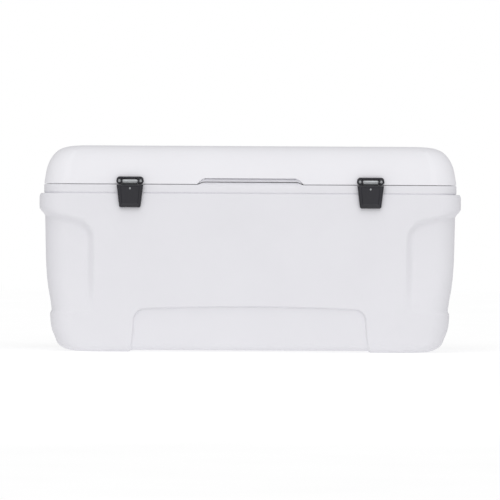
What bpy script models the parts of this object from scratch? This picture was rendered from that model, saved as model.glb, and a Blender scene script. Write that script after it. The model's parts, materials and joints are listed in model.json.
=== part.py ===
"""A large hard-sided chest cooler: foam-filled body and lid, two swing-up end handles,
two strap latches, three rear hinges and a threaded drain.

Metres, +Z up. X runs along the length, the latches face -Y, and the base rests on Z = 0."""

import math

import bmesh
import bpy
from mathutils import Matrix, Vector

# ---- Driving dimensions -------------------------------------------------------------

GAP = 0.0003                # between neighbouring pieces
SHELL_T = 0.004             # wall of the outer body and lid skins
LINER_T = 0.003             # wall of the tub and the lid's inner panel
SEAM_Z = 0.430              # where the lid meets the body
RIM_Z = 0.429               # top of the body
LID_BASE_Z = 0.431          # bottom edge of the lid
HEIGHT = 0.529
RIM_X, RIM_Y = 0.530, 0.218     # half size of the rim band and the lid's lower edge
CORNER_R = 0.056            # plan radius of the body's corners
CORNER_STEPS = 5

# Body skin, bottom to top: height, half length, half depth.
PROUD = [
    (0.000, 0.430, 0.172),
    (0.004, 0.462, 0.196),
    (0.012, 0.484, 0.2065),
    (0.028, 0.497, 0.2125),
    (0.060, 0.509, 0.2155),
    (0.092, 0.513, 0.2165),
    (0.106, 0.5125, 0.2168),
    (0.130, 0.518, 0.2172),
    (0.200, 0.5245, 0.2182),
    (0.290, 0.5285, 0.2200),
    (0.345, 0.5375, 0.2210),
    (0.364, 0.5415, 0.2215),
    (0.400, 0.5415, 0.2215),
    (0.406, 0.5370, 0.2212),
    (0.407, 0.530, 0.2180),
    (RIM_Z, RIM_X, RIM_Y),
]
# The recessed corner panels: half length of the end wall and how deep the front wall is set back.
RECESS = [
    (0.106, 0.508, 0.002),
    (0.130, 0.512, 0.005),
    (0.200, 0.523, 0.0095),
    (0.290, 0.5265, 0.011),
    (0.345, 0.5275, 0.011),
]
# Heights of the rows the skin is lofted from, and whether a row dips into the corner panels.
BODY_ROWS = [
    (0.000, False),
    (0.004, False),
    (0.012, False),
    (0.028, False),
    (0.060, False),
    (0.092, False),
    (0.106, True),
    (0.130, True),
    (0.200, True),
    (0.309, True),
    (0.327, False),
    (0.364, False),
    (0.400, False),
    (0.406, False),
    (0.4075, False),
    (0.421, False),
    (RIM_Z, False),
]
PANEL_EDGE_ROWS = (0.309, 0.327)        # these two climb towards the end
GROOVE_IN, GROOVE_OUT = 0.397, 0.414    # the sloped side wall of a corner panel
PANEL_RISE = 0.022          # how far the panel's top edge climbs from groove to end
BASE_LIFT = 0.004           # the middle of the base stands this much off the ground
FOOT_X = 0.308              # the feet start here and run outwards

# Lid skin, bottom to top.
LID = [
    (LID_BASE_Z, 0.5295, 0.2180),
    (0.443, 0.5275, 0.2178),
    (0.452, 0.5255, 0.2174),
    (0.470, 0.5205, 0.2150),
    (0.487, 0.5130, 0.2105),
    (0.502, 0.5030, 0.2030),
    (0.513, 0.4930, 0.1945),
    (0.521, 0.4800, 0.1840),
    (0.527, 0.4600, 0.1690),
    (HEIGHT, 0.4300, 0.1450),
]
NOTCH_X, NOTCH_TOP_X = 0.137, 0.118     # finger notch in the lid's front edge
NOTCH_Z = 0.443
NOTCH_DEEP = 0.012
LEDGE_DEEP = 0.0085                     # the ledge under it slopes back this far
LEDGE_TOP_Z = 0.4335                    # and rises to this height
NOTCH_BASE_Z = 0.4355                   # bottom edge of the lid inside the notch

# Tub.
TUB_X, TUB_Y = 0.488, 0.180             # half size of its mouth
TUB_FLOOR_X, TUB_FLOOR_Y = 0.470, 0.166
TUB_FLOOR_Z = 0.045
TUB_R = 0.045

# Handles, hung in a pocket in each end.
POCKET_Y, POCKET_LOW, POCKET_HIGH = 0.108, 0.185, 0.332
POCKET_FLOOR_X = 0.4985
CLEAR_X = 0.560                         # clear of the end walls
HANDLE_X, HANDLE_Z = 0.5140, 0.312      # pivot axis
HANDLE_Y = 0.084                        # half width between the legs
HANDLE_DROP = 0.086
HANDLE_R, GRIP_R = 0.0062, 0.0100
GRIP_LONG = 0.112
MOUNT_OUT_X = 0.5225                    # outer face of the handle's mounts
MOUNT_LOW, MOUNT_HIGH = 0.2935, 0.3235
HANDLE_SCREW_Z = 0.2985

# Latches.
LATCH_XS = {"left": -0.308, "right": 0.308}
LATCH_OUT = 0.0145                      # front of the flap, out from the lid's face
LATCH_Y = -RIM_Y - 0.0060               # pivot axis
LATCH_Z = 0.4375
LATCH_PIN_R = 0.0032
CURL_OUT, CURL_IN = 0.0053, 0.0036
FLAP_TOP, FLAP_LOW = 0.4278, 0.370
FLAP_TOP_X, FLAP_LOW_X = 0.034, 0.027
FLAP_BACK_Y = -0.2238
FLAP_WALL = 0.0030                      # front wall left by the channels behind the flap
STRAP_HALF, TAIL_HALF = 0.0185, 0.0170
BOSS_R, BOSS_LONG = 0.0078, 0.0104
SCREW_X = 0.02725                       # latch screws, each side of the latch's middle
SCREW_HOLE_R = 0.0023
RIVET_Z, RIVET_R, RIVET_HEAD_R = 0.4188, 0.0020, 0.0034

# Hinges.
HINGE_XS = {"left": -0.330, "centre": 0.0, "right": 0.330}
HINGE_Y = RIM_Y + 0.0085                # pivot axis, at the seam's height
KNUCKLE_R, HINGE_PIN_R = 0.0060, 0.0022
KNUCKLE_SPLIT, KNUCKLE_END = 0.0100, 0.0280
LEAF_IN, LEAF_OUT = RIM_Y + GAP, RIM_Y + 0.0026
LEAF_HALF = 0.030
LEAF_SCREW_X = 0.0200

# Drain, in the right end.
DRAIN_Z = 0.062
DRAIN_FLOOR_X = 0.4850
DRAIN_POCKET = 0.036                    # half size of its square recess
SPOUT_R, SPOUT_BORE_R = 0.0090, 0.0072
SPOUT_IN_X, SPOUT_OUT_X = 0.4570, 0.4970
FLANGE_R, FLANGE_T = 0.0170, 0.0025
NUT_R = 0.0130
CAP_R, CAP_END_X = 0.0150, 0.5030

WHITE = (0.80, 0.80, 0.83)
TUB_WHITE = (0.84, 0.84, 0.85)
BLACK = (0.028, 0.027, 0.035)
STEEL = (0.60, 0.61, 0.62)
FOAM = (0.85, 0.78, 0.55)
RUBBER = (0.03, 0.03, 0.03)

MATERIALS = {
    "white_plastic": (WHITE, 0.42, 0.0),
    "liner_plastic": (TUB_WHITE, 0.35, 0.0),
    "black_plastic": (BLACK, 0.45, 0.0),
    "stainless": (STEEL, 0.28, 1.0),
    "foam": (FOAM, 0.95, 0.0),
    "rubber": (RUBBER, 0.80, 0.0),
}

# ---- Scene and small helpers --------------------------------------------------------


def clear_scene():
    for ob in list(bpy.data.objects):
        bpy.data.objects.remove(ob, do_unlink=True)


def new_collection(name):
    collection = bpy.data.collections.new(name)
    bpy.context.scene.collection.children.link(collection)
    return collection


def make_materials():
    made = {}
    for name, (colour, roughness, metallic) in MATERIALS.items():
        mat = bpy.data.materials.new(name)
        mat.use_nodes = True
        shader = mat.node_tree.nodes["Principled BSDF"]
        shader.inputs["Base Color"].default_value = (*colour, 1.0)
        shader.inputs["Roughness"].default_value = roughness
        shader.inputs["Metallic"].default_value = metallic
        made[name] = mat
    return made


clear_scene()
PARTS = new_collection("chest_cooler")
CUTTERS = new_collection("cutters")
MATS = make_materials()


def add_object(name, mesh, material=None, at=(0, 0, 0)):
    """A part if it has a material, else a cutter."""
    ob = bpy.data.objects.new(name, mesh)
    ob.location = at
    if material:
        mesh.materials.append(MATS[material])
        PARTS.objects.link(ob)
    else:
        ob.hide_render = True
        ob.display_type = "WIRE"
        CUTTERS.objects.link(ob)
    return ob


def mesh_from(name, bm, smooth_angle=None):
    bmesh.ops.recalc_face_normals(bm, faces=bm.faces)
    mesh = bpy.data.meshes.new(name)
    bm.to_mesh(mesh)
    bm.free()
    if smooth_angle:
        mesh.shade_smooth()
        mesh.set_sharp_from_angle(angle=smooth_angle)
    return mesh


def box(name, low, high, material=None, origin=(0, 0, 0)):
    """A box between two corners given in world space, on an object placed at origin."""
    low, high, origin = Vector(low), Vector(high), Vector(origin)
    bm = bmesh.new()
    size = high - low
    place = Matrix.Translation((low + high) / 2 - origin)
    bmesh.ops.create_cube(bm, size=1.0, matrix=place @ Matrix.Diagonal((*size, 1.0)))
    return add_object(name, mesh_from(name, bm), material, origin)


AXES = {
    "X": Matrix.Rotation(math.radians(90), 4, "Y"),
    "Y": Matrix.Rotation(math.radians(90), 4, "X"),
    "Z": Matrix.Identity(4),
}


def rod(name, centre, axis, radius, length, material=None, origin=None, segments=24):
    """A cylinder centred in world space."""
    centre = Vector(centre)
    origin = centre if origin is None else Vector(origin)
    bm = bmesh.new()
    bmesh.ops.create_cone(
        bm,
        cap_ends=True,
        segments=segments,
        radius1=radius,
        radius2=radius,
        depth=length,
        matrix=Matrix.Translation(centre - origin) @ AXES[axis],
    )
    return add_object(name, mesh_from(name, bm, math.radians(40)), material, origin)


def outline(name, splines, axis, centre, thickness, material=None, origin=(0, 0, 0)):
    """A flat outline of one or more closed loops, thickened along X or Y and made a mesh.

    Points are (across, up): across is X for a plate facing Y, and Y for a plate facing X."""
    curve = bpy.data.curves.new(name, "CURVE")
    curve.dimensions = "2D"
    curve.fill_mode = "BOTH"
    curve.extrude = thickness / 2
    for points in splines:
        spline = curve.splines.new("POLY")
        spline.points.add(len(points) - 1)
        for point, (across, up) in zip(spline.points, points):
            point.co = (across, up, 0.0, 1.0)
        spline.use_cyclic_u = True
    stand = Matrix.Rotation(math.radians(90), 4, "X")
    if axis == "X":
        stand = Matrix.Rotation(math.radians(90), 4, "Z") @ stand
    ob = bpy.data.objects.new(name, curve)
    return solid_from_curve(name, ob, Matrix.Translation(centre) @ stand, material, origin)


def solid_from_curve(name, ob, place, material, origin):
    """The curve's mesh with its caps welded, in place of the curve."""
    bpy.context.scene.collection.objects.link(ob)
    graph = bpy.context.evaluated_depsgraph_get()
    mesh = bpy.data.meshes.new_from_object(ob.evaluated_get(graph))
    bpy.data.objects.remove(ob, do_unlink=True)
    bm = bmesh.new()
    bm.from_mesh(mesh)
    bpy.data.meshes.remove(mesh)
    bmesh.ops.remove_doubles(bm, verts=bm.verts, dist=1e-6)
    bmesh.ops.transform(bm, matrix=Matrix.Translation(-Vector(origin)) @ place, verts=bm.verts)
    return add_object(name, mesh_from(name, bm, math.radians(40)), material, origin)


def arc(centre, radius, start, end, steps):
    """Points on an arc, angles in degrees."""
    points = []
    for i in range(steps + 1):
        angle = math.radians(start + (end - start) * i / steps)
        points.append((centre[0] + radius * math.cos(angle), centre[1] + radius * math.sin(angle)))
    return points


def boolean(target, tool, operation):
    modifier = target.modifiers.new(f"{operation.lower()}_{tool.name}", "BOOLEAN")
    modifier.operation = operation
    modifier.solver = "EXACT"
    modifier.object = tool
    return modifier


def cut(target, *tools):
    for tool in tools:
        boolean(target, tool, "DIFFERENCE")


def join(target, *tools):
    """Unions in pieces that then belong to the target."""
    for tool in tools:
        boolean(target, tool, "UNION")
        tool.hide_render = True


def bevel(ob, width, segments=1, angle=40):
    modifier = ob.modifiers.new("rounded_edges", "BEVEL")
    modifier.width = width
    modifier.segments = segments
    modifier.limit_method = "ANGLE"
    modifier.angle_limit = math.radians(angle)


# ---- Lofted skins -------------------------------------------------------------------


def lerp(a, b, t):
    return a + (b - a) * t


def profile_at(profile, z):
    """The values of a height profile at z, held at its ends."""
    if z <= profile[0][0]:
        return profile[0][1:]
    for below, above in zip(profile, profile[1:]):
        if z <= above[0]:
            t = (z - below[0]) / (above[0] - below[0])
            return tuple(lerp(p, q, t) for p, q in zip(below[1:], above[1:]))
    return profile[-1][1:]


def half_ring(xs, steps=CORNER_STEPS):
    """Stations round the +X half of a rounded rectangle, front centre to rear centre.

    Front and rear have the same stations, so a flat end closes with strips across the depth.

    A station is (kind, value): along the front, round a corner in degrees, along the end or rear."""
    stations = [("front", x) for x in xs]
    stations += [("front_corner", 90.0 * i / steps) for i in range(steps + 1)]
    stations += [("rear_corner", 90.0 * i / steps) for i in range(steps + 1)]
    stations += [("rear", x) for x in reversed(xs)]
    return stations


def ring_point(station, half_x, half_y, radius):
    """Where a station lies on a rounded rectangle, in order even where it is short."""
    kind, value = station
    if kind in ("front", "rear"):
        if value > FOOT_X:
            room = (half_x - radius - FOOT_X) / (RIM_X - CORNER_R - FOOT_X)
            value = FOOT_X + (value - FOOT_X) * room
        return value, -half_y if kind == "front" else half_y
    turn = math.radians(value)
    if kind == "front_corner":
        return (
            half_x - radius + radius * math.sin(turn),
            -half_y + radius - radius * math.cos(turn),
        )
    return (
        half_x - radius + radius * math.cos(turn),
        half_y - radius + radius * math.sin(turn),
    )


def close_across(bm, ring):
    """Closes a ring with strips that run from its front stations to its rear ones."""
    last = len(ring) - 1
    for i in range(len(ring) // 2 - 1):
        bm.faces.new((ring[i], ring[i + 1], ring[last - i - 1], ring[last - i]))


def loft(name, rings, cap_low=True, cap_high=True):
    """Quads between open half rings that start and end on the plane X = 0."""
    bm = bmesh.new()
    rows = [[bm.verts.new(point) for point in ring] for ring in rings]
    for low, high in zip(rows, rows[1:]):
        for i in range(len(low) - 1):
            bm.faces.new((low[i], low[i + 1], high[i + 1], high[i]))
    if cap_low:
        close_across(bm, list(reversed(rows[0])))
    if cap_high:
        close_across(bm, rows[-1])
    mesh = bpy.data.meshes.new(name)
    bm.to_mesh(mesh)
    bm.free()
    mesh.shade_smooth()
    mesh.set_sharp_from_angle(angle=math.radians(35))
    return mesh


def mirror(ob):
    modifier = ob.modifiers.new("other_half", "MIRROR")
    modifier.use_axis = (True, False, False)
    modifier.merge_threshold = 0.0001


def thicken(ob, thickness):
    """Grows a wall on the inner side of an outward-facing skin."""
    modifier = ob.modifiers.new("wall", "SOLIDIFY")
    modifier.thickness = thickness
    modifier.offset = -1.0
    modifier.use_even_offset = True


def skin_object(name, rings, material, wall=None, cap_low=True, cap_high=True):
    ob = add_object(name, loft(name, rings, cap_low, cap_high), material)
    mirror(ob)
    if wall:
        thicken(ob, wall)
    return ob


# ---- Body ---------------------------------------------------------------------------

BODY_XS = (0.0, NOTCH_TOP_X, NOTCH_X, FOOT_X - 0.006, FOOT_X, GROOVE_IN, GROOVE_OUT, 0.442)


def panel_share(station):
    """0 on the proud front panel, 1 on the recessed corner panels and the whole end."""
    kind, x = station
    if kind in ("front", "rear"):
        return 0.0 if x <= GROOVE_IN else 1.0
    return 1.0


def outward(station):
    """0 at the groove, 1 at the end wall, for the panel's slanting top edge."""
    kind, value = station
    if kind in ("front", "rear"):
        return max(0.0, (value - GROOVE_OUT) / (RIM_X - GROOVE_OUT))
    turn = value if kind == "front_corner" else 90.0 - value
    return lerp(0.5, 1.0, turn / 90.0)


def body_row(stations, z, recessed):
    """One ring of the body's skin; recessed rows dip into the corner panels."""
    ring = []
    for station in stations:
        share = panel_share(station)
        level = z
        if z in PANEL_EDGE_ROWS:
            level += PANEL_RISE * outward(station) * share
        half_x, half_y = profile_at(PROUD, level)
        if recessed and share:
            half_x, back = profile_at(RECESS, level)
            half_y -= back
        radius = CORNER_R - min(0.016, 0.25 * (RIM_X - min(half_x, RIM_X)))
        x, y = ring_point(station, half_x, half_y, radius)
        kind, value = station
        if z == 0.0 and kind in ("front", "rear") and value < FOOT_X:
            level += BASE_LIFT
        if z == RIM_Z and kind == "front" and value <= NOTCH_TOP_X:
            y += LEDGE_DEEP
            level = LEDGE_TOP_Z
        ring.append((x, y, level))
    return ring


def body_outer_shell():
    stations = half_ring(BODY_XS)
    rings = [body_row(stations, z, recessed) for z, recessed in BODY_ROWS]
    shell = skin_object("body_outer_shell", rings, "white_plastic", SHELL_T, True, False)
    for side, sign in (("left", -1), ("right", 1)):
        pocket = handle_pocket(f"{side}_pocket", sign, SHELL_T)
        join(shell, pocket)
        cut(shell, handle_pocket(f"{side}_pocket_hollow", sign, 0.0))
    join(shell, drain_pocket("drain_pocket", SHELL_T))
    cut(
        shell,
        drain_pocket("drain_pocket_hollow", 0.0),
        rod("drain_hole_shell", (0.48, 0, DRAIN_Z), "X", SPOUT_R + 0.0005, 0.03),
    )
    return shell


def end_tray(name, low, high, wall, reach_low, reach_high):
    """A tray set into the right end wall, whose mouth leans with that wall.

    With no wall it is the hollow itself, open outwards."""
    floor_x, low_y, low_z = low
    high_y, high_z = high
    low_corner = (floor_x - wall, low_y - wall, low_z - wall)
    tray = box(name, low_corner, (CLEAR_X, high_y + wall, high_z + wall))
    for vert in tray.data.vertices:
        if wall and vert.co.x > floor_x:
            vert.co.x = reach_high if vert.co.z > (low_z + high_z) / 2 else reach_low
    return tray


def handle_pocket(name, sign, wall):
    low, high = (POCKET_FLOOR_X, -POCKET_Y, POCKET_LOW), (POCKET_Y, POCKET_HIGH)
    tray = end_tray(name, low, high, wall, 0.5205, 0.5250)
    if sign < 0:
        for vert in tray.data.vertices:
            vert.co.x *= sign
        tray.data.flip_normals()
    return tray


def drain_pocket(name, wall):
    half = DRAIN_POCKET
    low, high = (DRAIN_FLOOR_X, -half, DRAIN_Z - half), (half, DRAIN_Z + half)
    return end_tray(name, low, high, wall, 0.4965, 0.5055)


def tub_rings(stations):
    """The tub's inner surface, from the flange's outer edge inwards and down to the floor."""
    flange_x = RIM_X - SHELL_T - GAP
    flange_y = RIM_Y - SHELL_T - GAP
    sections = [
        (RIM_Z, flange_x, flange_y, CORNER_R - SHELL_T - GAP),
        (RIM_Z, TUB_X + 0.004, TUB_Y + 0.004, TUB_R + 0.004),
        (RIM_Z - 0.004, TUB_X, TUB_Y, TUB_R),
        (TUB_FLOOR_Z + 0.030, TUB_FLOOR_X + 0.003, TUB_FLOOR_Y + 0.003, TUB_R),
        (TUB_FLOOR_Z + 0.006, TUB_FLOOR_X - 0.0015, TUB_FLOOR_Y - 0.0015, TUB_R - 0.004),
        (TUB_FLOOR_Z, TUB_FLOOR_X - 0.011, TUB_FLOOR_Y - 0.011, TUB_R - 0.013),
    ]
    return [
        [(*ring_point(station, half_x, half_y, radius), z) for station in stations]
        for z, half_x, half_y, radius in sections
    ]


def body_liner():
    """The tub hangs from a flange that closes the top of the wall."""
    rings = list(reversed(tub_rings(half_ring((0.0, NOTCH_X)))))
    mesh = loft("body_liner", rings, True, False)
    mesh.flip_normals()
    liner = add_object("body_liner", mesh, "liner_plastic")
    mirror(liner)
    thicken(liner, LINER_T)
    cut(
        liner,
        box("ledge_relief", (-NOTCH_X - 0.002, -0.24, 0.40), (NOTCH_X + 0.002, -0.2075, 0.45)),
        rod("drain_hole_liner", (0.48, 0, DRAIN_Z), "X", SPOUT_R + 0.0005, 0.05),
    )
    return liner


def body_foam():
    """Fills the wall and floor between the outer shell and the tub."""
    stations = half_ring((0.0, NOTCH_X))
    sections = [
        (0.0105, 0.440, 0.185, 0.040),
        (0.040, 0.488, 0.2030, 0.045),
        (0.104, 0.500, 0.2075, 0.050),
        (0.200, 0.516, 0.2035, 0.050),
        (0.320, 0.5195, 0.2040, 0.050),
        (RIM_Z - LINER_T - 2 * GAP, 0.5235, 0.2060, 0.050),
    ]
    rings = [
        [(*ring_point(station, half_x, half_y, radius), z) for station in stations]
        for z, half_x, half_y, radius in sections
    ]
    foam = skin_object("body_foam", rings, "foam")
    grow = LINER_T + 0.0008
    hollow_sections = [
        (0.4600, TUB_X + 0.0150, TUB_Y + 0.0150, TUB_R + 0.0150),
        (0.4220, TUB_X + grow, TUB_Y + grow, TUB_R + grow),
        (TUB_FLOOR_Z + 0.030, TUB_FLOOR_X + 0.003 + grow, TUB_FLOOR_Y + 0.003 + grow, TUB_R),
        (TUB_FLOOR_Z - grow, TUB_FLOOR_X - 0.001 + grow, TUB_FLOOR_Y - 0.001 + grow, TUB_R - 0.010),
    ]
    hollow_rings = [
        [(*ring_point(station, half_x, half_y, radius), z) for station in stations]
        for z, half_x, half_y, radius in reversed(hollow_sections)
    ]
    hollow = add_object("tub_hollow", loft("tub_hollow", hollow_rings))
    mirror(hollow)
    reliefs = [
        box("left_pocket_relief", (-0.56, -0.1125, 0.1805), (-0.4940, 0.1125, 0.3365)),
        box("right_pocket_relief", (0.4940, -0.1125, 0.1805), (0.56, 0.1125, 0.3365)),
        box("drain_relief", (0.4805, -0.0405, 0.0255), (0.56, 0.0405, 0.1065)),
        box("ledge_foam_relief", (-0.14, -0.24, 0.405), (0.14, -0.2050, 0.45)),
        rod("drain_hole_foam", (0.48, 0, DRAIN_Z), "X", SPOUT_R + 0.0010, 0.06),
    ]
    cut(foam, hollow, *reliefs)
    return foam


# ---- Lid ----------------------------------------------------------------------------


def lid_ring(stations, z, half_x, half_y, notched, inset=0.0):
    ring = []
    shrink = min(0.022, 0.3 * (RIM_X - half_x))
    for station in stations:
        x, y = ring_point(station, half_x - inset, half_y - inset, CORNER_R - shrink - inset)
        level = z
        if notched and station[0] == "front" and station[1] <= NOTCH_TOP_X:
            y += NOTCH_DEEP
            level = max(z, NOTCH_BASE_Z)
        ring.append((x, y, level))
    return ring


def lid_outer_shell():
    stations = half_ring((0.0, NOTCH_TOP_X, NOTCH_X, 0.30))
    rings = []
    for z, half_x, half_y in LID:
        if z == NOTCH_Z:
            rings.append(lid_ring(stations, z - 0.001, half_x, half_y, True))
        rings.append(lid_ring(stations, z, half_x, half_y, z < NOTCH_Z))
    return skin_object("lid_outer_shell", rings, "white_plastic", SHELL_T, False, True)


def lid_foam():
    stations = half_ring((0.0, NOTCH_X))
    rings = [lid_ring(stations, LID_BASE_Z + 0.0125, 0.5110, 0.1995, False)]
    for z, half_x, half_y in LID[3:]:
        rings.append(lid_ring(stations, z - SHELL_T - 0.0012, half_x - 0.009, half_y - 0.009, False))
    return skin_object("lid_foam", rings, "foam")


def lid_liner():
    """The inner panel: a flange inside the skirt and a shallow plug that drops into the tub."""
    stations = half_ring((0.0, NOTCH_X))
    sections = [
        (0.4190, 0.460, 0.152, 0.030),
        (0.4192, 0.476, 0.168, 0.040),
        (0.4235, 0.480, 0.172, 0.042),
        (LID_BASE_Z + 0.0005, 0.483, 0.175, 0.044),
        (LID_BASE_Z + 0.0005, 0.5240, 0.2125, 0.051),
    ]
    rings = [
        [(*ring_point(station, half_x, half_y, radius), z) for station in stations]
        for z, half_x, half_y, radius in sections
    ]
    liner = skin_object("lid_liner", rings, "liner_plastic", LINER_T, True, False)
    cut(liner, box("notch_relief", (-0.1405, -0.24, 0.425), (0.1405, -0.2012, 0.46)))
    return liner


# ---- Latches ------------------------------------------------------------------------


def latch(side, centre_x):
    """A screwed bracket with a steel pin on the lid; a steel strap and plastic flap swing on it."""
    pivot = (centre_x, LATCH_Y, LATCH_Z)
    face_y = -RIM_Y - GAP

    bracket = outline(
        f"{side}_latch_bracket",
        [
            arc((0.0265, 0.441), 0.0080, 0, 90, 4)
            + arc((-0.0265, 0.441), 0.0080, 90, 180, 4)
            + arc((-SCREW_X, 0.438), 0.0080, 180, 270, 3)
            + [(-0.0200, 0.4310), (-0.0200, 0.4437), (0.0200, 0.4437), (0.0200, 0.4310)]
            + arc((SCREW_X, 0.438), 0.0080, 270, 360, 3)
        ],
        "Y",
        (centre_x, face_y - 0.0014, 0),
        0.0028,
        "black_plastic",
        pivot,
    )
    top_bar = box(
        f"{side}_latch_top_bar",
        (centre_x - 0.0265, face_y - 0.0080, 0.4440),
        (centre_x + 0.0265, face_y - 0.0005, 0.4490),
    )
    join(bracket, top_bar)
    holes = [rod(f"{side}_pin_bore", pivot, "X", LATCH_PIN_R + GAP, 0.0470)]
    for end, sign in (("a", -1), ("b", 1)):
        at = (centre_x + sign * SCREW_X, face_y - BOSS_LONG / 2, 0.438)
        sunk = (at[0], face_y - 0.0100, at[2])
        join(bracket, rod(f"{side}_latch_boss_{end}", at, "Y", BOSS_R, BOSS_LONG))
        holes.append(rod(f"{side}_screw_hole_{end}", at, "Y", 0.0024, 0.030, segments=12))
        holes.append(rod(f"{side}_screw_sink_{end}", sunk, "Y", 0.0045, 0.004, segments=16))
    cut(bracket, *holes)

    rod(f"{side}_latch_pin", pivot, "X", LATCH_PIN_R, 0.0464, "stainless")

    strap = outline(
        f"{side}_latch_strap",
        [arc((LATCH_Y, LATCH_Z), radius, 0, 345, 23) for radius in (CURL_OUT, CURL_IN)],
        "X",
        (centre_x, 0, 0),
        2 * STRAP_HALF,
        "stainless",
        pivot,
    )
    tail = box(
        f"{side}_strap_tail",
        (centre_x - TAIL_HALF, LATCH_Y - 0.0008, 0.4060),
        (centre_x + TAIL_HALF, LATCH_Y + 0.0008, LATCH_Z - 0.0042),
    )
    join(strap, tail)
    strap_at = (centre_x, LATCH_Y, RIVET_Z)
    cut(strap, rod(f"{side}_strap_hole", strap_at, "Y", SCREW_HOLE_R, 0.02, segments=16))

    flap_y = -RIM_Y - LATCH_OUT
    flap = outline(
        f"{side}_latch_flap",
        [
            [
                (-FLAP_TOP_X, FLAP_TOP),
                (-FLAP_LOW_X - 0.001, FLAP_LOW + 0.003),
                (-FLAP_LOW_X + 0.002, FLAP_LOW),
                (FLAP_LOW_X - 0.002, FLAP_LOW),
                (FLAP_LOW_X + 0.001, FLAP_LOW + 0.003),
                (FLAP_TOP_X, FLAP_TOP),
            ]
        ],
        "Y",
        (centre_x, (flap_y + FLAP_BACK_Y) / 2, 0),
        FLAP_BACK_Y - flap_y,
        "black_plastic",
        pivot,
    )
    strap_bed = box(
        f"{side}_strap_bed",
        (centre_x - 0.0180, LATCH_Y - 0.0011, 0.4040),
        (centre_x + 0.0180, -0.2150, 0.4400),
    )
    catch_way = box(
        f"{side}_catch_way",
        (centre_x - 0.0165, flap_y + FLAP_WALL, 0.3600),
        (centre_x + 0.0165, -0.2150, 0.4010),
    )
    side_ways = [
        box(
            f"{side}_side_way_{end}",
            (centre_x + near, flap_y + FLAP_WALL, 0.3770),
            (centre_x + far, -0.2150, 0.4200),
        )
        for end, near, far in (("a", -0.0235, -0.0190), ("b", 0.0190, 0.0235))
    ]
    panel = box(
        f"{side}_flap_panel",
        (centre_x - 0.0215, flap_y - 0.0012, 0.3760),
        (centre_x + 0.0215, flap_y + 0.0012, 0.4245),
    )
    flap_at = (centre_x, flap_y, RIVET_Z)
    rivet_hole = rod(f"{side}_flap_hole", flap_at, "Y", SCREW_HOLE_R, 0.03, segments=16)
    cut(flap, strap_bed, catch_way, *side_ways, panel, rivet_hole)

    shank_start, shank_end = flap_y + GAP, LATCH_Y + 0.0020
    rivet = rod(
        f"{side}_latch_rivet",
        (centre_x, (shank_start + shank_end) / 2, RIVET_Z),
        "Y",
        RIVET_R,
        shank_end - shank_start,
        "stainless",
        pivot,
        12,
    )
    for end, y, thick in (("head", flap_y + 0.00045, 0.0009), ("tail", LATCH_Y + 0.0016, 0.0010)):
        at = (centre_x, y, RIVET_Z)
        join(rivet, rod(f"{side}_rivet_{end}", at, "Y", RIVET_HEAD_R, thick, segments=16))

    catch = box(
        f"{side}_latch_catch",
        (centre_x - 0.0150, flap_y + 0.0040, 0.3800),
        (centre_x + 0.0150, -0.2222, 0.3950),
        "black_plastic",
    )
    for end, x in (("outer", -SCREW_X), ("inner", SCREW_X)):
        place = (centre_x + x, face_y - 0.0084, 0.438)
        screw(f"{side}_latch_screw_{end}", place, "Y", -1, 0.0075)


def screw(name, place, axis, sign, length, head_r=0.0040, shank_r=0.0020, head=0.0018):
    """A pan-head screw; place is the underside of its head, and sign points to the head."""
    sides = 12
    out = {"X": Vector((1, 0, 0)), "Y": Vector((0, 1, 0))}[axis] * sign
    turned = AXES[axis].to_3x3()
    bm = bmesh.new()
    rings = []
    for radius, along in ((head_r, head), (head_r, 0.0), (shank_r, 0.0), (shank_r, -length)):
        ring = []
        for i in range(sides):
            angle = math.tau * i / sides
            flat = turned @ Vector((radius * math.cos(angle), radius * math.sin(angle), 0))
            ring.append(bm.verts.new(out * along + flat))
        rings.append(ring)
    for low, high in zip(rings, rings[1:]):
        for i in range(sides):
            bm.faces.new((low[i], low[(i + 1) % sides], high[(i + 1) % sides], high[i]))
    bm.faces.new(rings[0])
    bm.faces.new(rings[-1])
    return add_object(name, mesh_from(name, bm, math.radians(40)), "stainless", place)


# ---- Hinges -------------------------------------------------------------------------


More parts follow.
